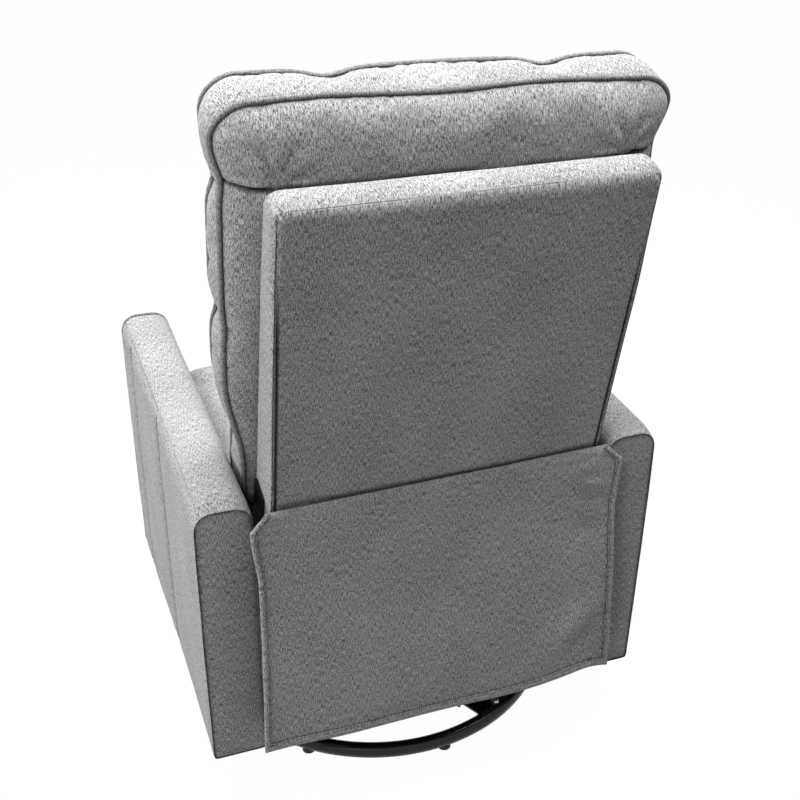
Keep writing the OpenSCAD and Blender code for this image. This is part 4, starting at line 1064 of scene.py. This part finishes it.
# A pad's crown, the swell of its sides and its seam, which lies at a share of its height
CROWN_SHARE = 0.62
CROWN_POWER = 0.42
PAD_UNEVEN = 0.0016
PAD_INSET = 0.0010
PAD_SWELL = 0.004
PAD_SIDE_INSET = 0.0045
PAD_SEAM_AT = 0.80
PAD_SEAM = (0.0026, 0.03)
# Below the first share of its height a pad is held fast, below the second it gives a little
PAD_HELD = 0.70
PAD_LOOSE = 0.86


def pillow_seams(verts, low, high, axis, way):
    """The pad's held points by how firmly they are held."""
    sewn = {1.0: [], 0.9: []}
    tall = high[axis] - low[axis]
    for vert in verts:
        rise = (vert.co[axis] - low[axis]) / tall if way > 0 else (high[axis] - vert.co[axis]) / tall
        if rise < PAD_HELD:
            sewn[1.0].append(vert.index)
        elif rise < PAD_LOOSE:
            sewn[0.9].append(vert.index)
    return sewn


def pillow(node, name, body, rounding, crown_axis, crown, seed, wrap=0.0):
    """A foam pad that fills its solid's box, with round edges, a seam and a crown.

    The crown's axis is 1, 2 or 3 for X, Y or Z, with the sign of the way that it swells. A wrap is
    how far the cover runs on over the board behind the pad.
    """
    low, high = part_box(node)
    full = (high if crown_axis > 0 else low)[abs(crown_axis) - 1]
    axis = abs(crown_axis) - 1
    way = 1 if crown_axis > 0 else -1
    others = [k for k in range(3) if k != axis]
    low, high = low.copy(), high.copy()
    if way > 0:
        high[axis] -= crown
    else:
        low[axis] += crown
        high[axis] += wrap
    if wrap:
        for k in others:
            low[k] -= WRAP_PROUD
            high[k] += WRAP_PROUD
    bm = cut_block(low, high, pillow_cuts(low, high))
    places = {v: side_of(v.co, low, high) for v in bm.verts}
    lay_cloth(bm)
    inner_low = low + Vector((rounding,) * 3)
    inner_high = high - Vector((rounding,) * 3)
    if wrap:
        inner_high[axis] = high[axis] - WRAP_EDGE
    for vert, faces in places.items():
        point = vert.co.copy()
        core = Vector(min(max(point[k], inner_low[k]), inner_high[k]) for k in range(3))
        out = point - core
        if out.length > 1e-9:
            reach = max(abs(c) for c in out)
            out *= reach / out.length
        room = 1.0
        for k in others:
            share = (point[k] - low[k]) / (high[k] - low[k])
            room *= max(0.0, 4 * share * (1 - share)) ** CROWN_POWER
        rise = (point[axis] - low[axis]) / (high[axis] - low[axis])
        rise = rise if way > 0 else 1 - rise
        moved = core + out
        moved[axis] += way * crown * room * rise * CROWN_SHARE
        soft = PAD_UNEVEN * wander(moved, 0.07, seed) - PAD_INSET
        swell = 0.0 if wrap else PAD_SWELL * arch(rise) - PAD_SIDE_INSET
        seam = groove(rise - PAD_SEAM_AT, *PAD_SEAM)
        for face in faces:
            if not (wrap and face == axis + 1):
                moved[abs(face) - 1] += math.copysign(1, face) * soft
        for face in faces:
            if abs(face) - 1 != axis:
                moved[abs(face) - 1] += math.copysign(1, face) * (swell - seam)
        vert.co = moved
    bm.verts.index_update()
    sewn = pillow_seams(bm.verts, low, high, axis, way)
    pad = finish_piece(name, bm, grey_cloth, body)
    fill_with_air(pad, sewn, pressure=4.0, slack=0.012, reach=crown * 0.5)
    for vert in pad.data.vertices:
        if (vert.co[axis] - full) * way > 0:
            vert.co[axis] = full
    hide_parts(node)


# Rear flap

FLAP_LOW, FLAP_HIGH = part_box("rear_flap")
FLAP_HALF = (FLAP_HIGH.x - FLAP_LOW.x) / 2
FLAP_TALL = FLAP_HIGH.z - FLAP_LOW.z
FLAP_TOP_Y = joints["flap_swing"]["pos_m"][1]
FLAP_FOOT_Y = AXIS_Y + 0.353
FLAP_THICK = 0.0024
FLAP_ROWS_BUNCHED = 1.15
FLAP_ROLL = 0.008
# How far the top edge hangs lower at the chair's right and at its left
FLAP_DROP = (0.006, 0.015)
# The cut upper corners, the waist below them, and how the flap widens again: by, from and within
FLAP_CORNER = 0.024
FLAP_WAIST = 0.007
FLAP_WAIST_RUN = 0.09
FLAP_FLARE = ((0.0075, 0.1, 0.3), (0.0025, 0.3, 0.12))
HEM = 0.016
SIDE_HEM = 0.009
SIDE_STITCH = 0.0070
# Folds of the flap: place across and up, angle, height, half width and half length
FLAP_FOLDS = (
    (-0.222, 0.106, -48, 0.0085, 0.020, 0.052),
    (-0.238, 0.066, -48, -0.0075, 0.018, 0.050),
    (-0.190, 0.150, -44, -0.0025, 0.026, 0.070),
    (-0.242, 0.362, 24, 0.0036, 0.008, 0.026),
    (-0.246, 0.338, 18, -0.0030, 0.008, 0.026),
    (-0.238, 0.318, 30, 0.0030, 0.008, 0.022),
    (-0.225, 0.392, -22, 0.0026, 0.008, 0.024),
    (-0.235, 0.286, 12, -0.0024, 0.010, 0.030),
    (0.090, 0.044, 6, 0.0016, 0.012, 0.060),
    (-0.060, 0.050, -5, -0.0014, 0.013, 0.055),
)


def flap_y(s, t):
    """The flap's depth: it rolls off the back box at its top and hangs nearly straight."""
    down = (1 - t) * FLAP_TALL
    y = FLAP_FOOT_Y + (FLAP_TOP_Y - FLAP_FOOT_Y) * ease(t)
    y += FLAP_ROLL * t * (1 - math.exp(-down / FLAP_ROLL)) - 0.0015 * bump(down - 0.018, 0.009)
    low = 1 - t
    y += 0.0035 * low * math.sin(math.pi * 1.6 * s) * abs(s)
    y -= 0.012 * low * bump(s + 0.93, 0.16) * ease((0.55 - t) / 0.4)
    for along, up, slope, rise, reach, tall in FLAP_FOLDS:
        right, above = s * FLAP_HALF - along, t * FLAP_TALL - up
        turn = math.radians(slope)
        across = above * math.cos(turn) - right * math.sin(turn)
        run = right * math.cos(turn) + above * math.sin(turn)
        y += rise * bump(across, reach) * bump(run, tall)
    y += 0.0020 * wander(Vector((s * 0.28, 0, t * 0.42)), 0.085, 51)
    return y


def flap_half(down):
    """Half width at a distance below the top: cut corners, drawn in a little below them."""
    half = FLAP_HALF - max(0.0, FLAP_CORNER - down)
    half -= FLAP_WAIST * ease((down - FLAP_CORNER) / FLAP_WAIST_RUN)
    for wider, start, run in FLAP_FLARE:
        half += wider * fade(down, start, run)
    return half


def flap_point(s, t):
    """A point of the flap by its share across, from -1 to 1, and its share up, from 0 to 1."""
    low_edge = 0.006 * bump(s + 0.78, 0.20) - 0.004 * bump(s + 0.38, 0.2)
    drop = FLAP_DROP[0] + (FLAP_DROP[1] - FLAP_DROP[0]) * (s + 1) / 2
    z = FLAP_LOW.z + t * (FLAP_TALL - drop) + (1 - t) * low_edge
    return Vector((s * flap_half((1 - t) * FLAP_TALL), flap_y(s, t), z))


def face_rear(bm):
    """Turns the faces of a hanging cloth to the rear."""
    bmesh.ops.recalc_face_normals(bm, faces=bm.faces)
    if sum(f.normal.y for f in bm.faces) < 0:
        bmesh.ops.reverse_faces(bm, faces=bm.faces)


def thicken(piece, thickness, offset):
    """Gives a sheet its thickness, about its middle or off its rear face."""
    thick = piece.modifiers.new("cloth", "SOLIDIFY")
    thick.thickness = thickness
    thick.offset = offset


def rear_flap():
    """The flap's cloth, with its rows closer together at the top."""
    bm = bmesh.new()
    made = bmesh.ops.create_grid(bm, x_segments=170, y_segments=150, size=1)
    bmesh.ops.rotate(bm, verts=made["verts"], matrix=Matrix.Rotation(math.pi / 2, 3, "X"))
    layer = bm.loops.layers.uv.new("cloth")
    for face in bm.faces:
        for loop in face.loops:
            loop[layer].uv = (loop.vert.co.x * FLAP_HALF, loop.vert.co.z * FLAP_TALL / 2)
    for vert in bm.verts:
        vert.co = flap_point(vert.co.x, 1 - ((1 - vert.co.z) / 2) ** FLAP_ROWS_BUNCHED)
    face_rear(bm)
    flap = finish_piece("rear_flap_cloth", bm, grey_cloth, "flap")
    thicken(flap, FLAP_THICK, 0)
    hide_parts("rear_flap")
    return flap


# A hem's raised middle, its cloth and its sunk line of stitches, which lies at a share of its width
HEM_RISE = 0.0024
HEM_LINE_AT = 0.78
HEM_LINE = (0.0020, 0.10)
FOOT_HEM_ROWS = 150
SIDE_HEM_ROWS = 130
# Where the side hems and their stitches begin, and how far they run, as shares of the height
SIDE_HEM_RUN = (0.02, 0.975)
SIDE_STITCH_RUN = (0.035, 0.955)
FOOT_STITCH_RUN = (-0.985, 1.97)
FOOT_STITCHES = (0.0128, 0.0150)
STITCH_STEPS = 160
STITCH_LENGTH = 0.0030
STITCH_GAP = 0.0016
STITCH_RADIUS = 0.00050
STITCH_OUT = 0.0009


def on_flap(s, t, out):
    """A point just off the flap's rear face."""
    return flap_point(s, t) + Vector((0, FLAP_THICK / 2 + out, 0))


def hem_strip(name, along, place):
    """The turned and sewn edge of the flap: a doubled layer with a soft fold and a sunk stitch line."""
    bm = bmesh.new()
    bmesh.ops.create_grid(bm, x_segments=along, y_segments=8, size=1)
    for vert in bm.verts:
        run, width = (vert.co.x + 1) / 2, (vert.co.y + 1) / 2
        raised = HEM_RISE * rim(abs(2 * width - 1)) - groove(width - HEM_LINE_AT, *HEM_LINE)
        vert.co = place(run, width, raised)
    face_rear(bm)
    lay_cloth(bm)
    hem = finish_piece(name, bm, grey_cloth, "flap")
    thicken(hem, thickness=0.0010, offset=1)
    return hem


def stitches(name, points):
    """Short thread stitches laid along a line of the flap."""
    bm = bmesh.new()
    travelled, at = 0.0, STITCH_GAP / 2
    size = Matrix.Diagonal((STITCH_LENGTH / 2, STITCH_RADIUS, STITCH_RADIUS, 1))
    for a, b in zip(points, points[1:]):
        span = (b - a).length
        way = (b - a).normalized()
        turn = way.to_track_quat("X", "Z").to_matrix().to_4x4()
        while at < travelled + span:
            place = Matrix.Translation(a + way * (at - travelled)) @ turn @ size
            bmesh.ops.create_icosphere(bm, subdivisions=1, radius=1, matrix=place)
            at += STITCH_LENGTH + STITCH_GAP
        travelled += span
    return finish_piece(name, bm, thread, "flap")


def flap_hems():
    """The hems along the flap's foot and sides, and their stitches."""
    steps = range(STITCH_STEPS + 1)
    pieces = [hem_strip("flap_foot_hem", FOOT_HEM_ROWS, lambda run, width, out:
                        on_flap(2 * run - 1, width * HEM / FLAP_TALL, out))]
    start, reach = FOOT_STITCH_RUN
    for number, rise in enumerate(FOOT_STITCHES):
        line = [on_flap(start + reach * k / STITCH_STEPS, rise / FLAP_TALL, STITCH_OUT) for k in steps]
        pieces.append(stitches(f"flap_foot_stitch_{number}", line))
    hem_start, hem_reach = SIDE_HEM_RUN
    start, reach = SIDE_STITCH_RUN
    for side, name in ((-1, "right"), (1, "left")):
        inner = side * (1 - SIDE_HEM / FLAP_HALF)
        pieces.append(hem_strip(f"flap_{name}_hem", SIDE_HEM_ROWS, lambda run, width, out:
                                on_flap(side + (inner - side) * width, hem_start + hem_reach * run, out)))
        s = side * (1 - SIDE_STITCH / FLAP_HALF)
        line = [on_flap(s, start + reach * k / STITCH_STEPS, STITCH_OUT) for k in steps]
        pieces.append(stitches(f"flap_{name}_stitch", line))
    return pieces


# Studio
CHAIR_MIDDLE = Vector((0, 0, 0.5))
# The lights: name, place, size across and along, and watts. They all look at the chair's middle
LIGHTS = (
    ("top_light", (0.0, 0.05, 2.70), (2.6, 0.9), 72),
    ("front_light", (0.75, -1.60, 2.10), (1.4, 1.4), 27),
    ("side_light", (2.9, 0.10, 1.5), (1.2, 1.2), 39),
    ("fill_light", (-1.4, 0.55, 2.50), (0.9, 0.9), 17),
    ("rear_light", (1.7, 2.00, 2.90), (0.7, 0.7), 26),
)
GLOW_SHARE = 0.93
WHITE = (1, 1, 1, 1)


def area_light(name, place, size, watts):
    """A rectangular light."""
    lamp = bpy.data.lights.new(name, "AREA")
    lamp.energy = watts
    lamp.shape = "RECTANGLE"
    lamp.size, lamp.size_y = size
    holder = new_object(name, lamp)
    holder.location = place
    holder.rotation_euler = (CHAIR_MIDDLE - Vector(place)).to_track_quat("-Z", "Y").to_euler()


def seen_directly(tree):
    """1 for what the camera sees, also in a gloss or through glass, and 0 for light on other things."""
    path = add_node(tree, "LightPath")
    seen = math_node(tree, "MAXIMUM", path.outputs["Is Camera Ray"], path.outputs["Is Glossy Ray"])
    return math_node(tree, "MAXIMUM", seen, path.outputs["Is Transmission Ray"])


def mix_shaders(tree, share, first, second, out):
    """Sends two shaders to the output, the second one by its share."""
    mix = add_node(tree, "MixShader", Fac=share)
    tree.links.new(first, mix.inputs[1])
    tree.links.new(second, mix.inputs[2])
    tree.links.new(mix.outputs["Shader"], out.inputs["Surface"])


def white_room():
    """A world that is seen as white but lights the chair faintly."""
    world = bpy.data.worlds.new("room")
    bpy.context.scene.world = world
    world.use_nodes = True
    tree = world.node_tree
    tree.nodes.clear()
    out = tree.nodes.new("ShaderNodeOutputWorld")
    dim = add_node(tree, "Background", Color=WHITE, Strength=0.05)
    bright = add_node(tree, "Background", Color=WHITE, Strength=1.0)
    mix_shaders(tree, seen_directly(tree), dim.outputs["Background"], bright.outputs["Background"], out)


def white_floor():
    """A white floor that shows the chair's soft shadow."""
    material, tree, skin = new_material("white_floor")
    feed(tree, skin, {"Base Color": (0.42, 0.42, 0.42, 1), "Roughness": 0.8, "Specular IOR Level": 0.1})
    out = next(n for n in tree.nodes if n.type == "OUTPUT_MATERIAL")
    glow = add_node(tree, "Emission", Strength=1.06)
    share = math_node(tree, "MULTIPLY", seen_directly(tree), GLOW_SHARE)
    mix_shaders(tree, share, skin.outputs["BSDF"], glow.outputs["Emission"], out)
    return material


def studio():
    """The white floor, the lights and the room."""
    floor_mesh = bpy.data.meshes.new("floor")
    bm = bmesh.new()
    bmesh.ops.create_grid(bm, x_segments=1, y_segments=1, size=12)
    bm.to_mesh(floor_mesh)
    bm.free()
    floor = new_object("floor", floor_mesh)
    floor.data.materials.append(white_floor())
    for light in LIGHTS:
        area_light(*light)
    white_room()


# Camera, fitted to the photograph: its place about the swivel, and how it turns, rises and rolls

FRAME_PX = 800
FILM_WIDTH = 36
FOCAL_PX = 1206.8
CENTRE_PX = (29.3, 14.4)
CAMERA_PLACE = (0.5503, 1.6570 + AXIS_Y, 1.5054)
CAMERA_ANGLES = (158.6, 30.2, 1.5)


def place_camera():
    """Sets the camera up behind the chair, a little above it and on its left side."""
    lens = bpy.data.cameras.new("camera")
    lens.sensor_fit = "HORIZONTAL"
    lens.sensor_width = FILM_WIDTH
    lens.lens = FILM_WIDTH * FOCAL_PX / FRAME_PX
    lens.shift_x = -CENTRE_PX[0] / FRAME_PX
    lens.shift_y = CENTRE_PX[1] / FRAME_PX
    camera = new_object("camera", lens)
    turn, rise, roll = (math.radians(a) for a in CAMERA_ANGLES)
    back = Vector((math.sin(turn) * math.cos(rise), -math.cos(turn) * math.cos(rise), math.sin(rise)))
    right = (-back).cross(Vector((0, 0, 1))).normalized()
    up = right.cross(-back)
    tilted = math.cos(roll) * right + math.sin(roll) * up
    upright = -math.sin(roll) * right + math.cos(roll) * up
    axes = Matrix((tilted, upright, back)).transposed().to_4x4()
    camera.matrix_world = Matrix.Translation(CAMERA_PLACE) @ axes
    bpy.context.scene.camera = camera


place_camera()
finish_solids()
padded_arm("left")
padded_arm("right")
back_box()
back_cushion()
cushion_piping()
pillow("seat_cushion", "seat_cushion_cover", "seat", 0.030, 3, 0.017, 61)
pillow("leg_rest_pad", "leg_rest_cover", "leg_rest", 0.013, -2, 0.010, 71, wrap=0.0140)
flap = rear_flap()
flap_pieces = flap_hems()
studio()

bpy.context.scene.view_settings.view_transform = "Standard"
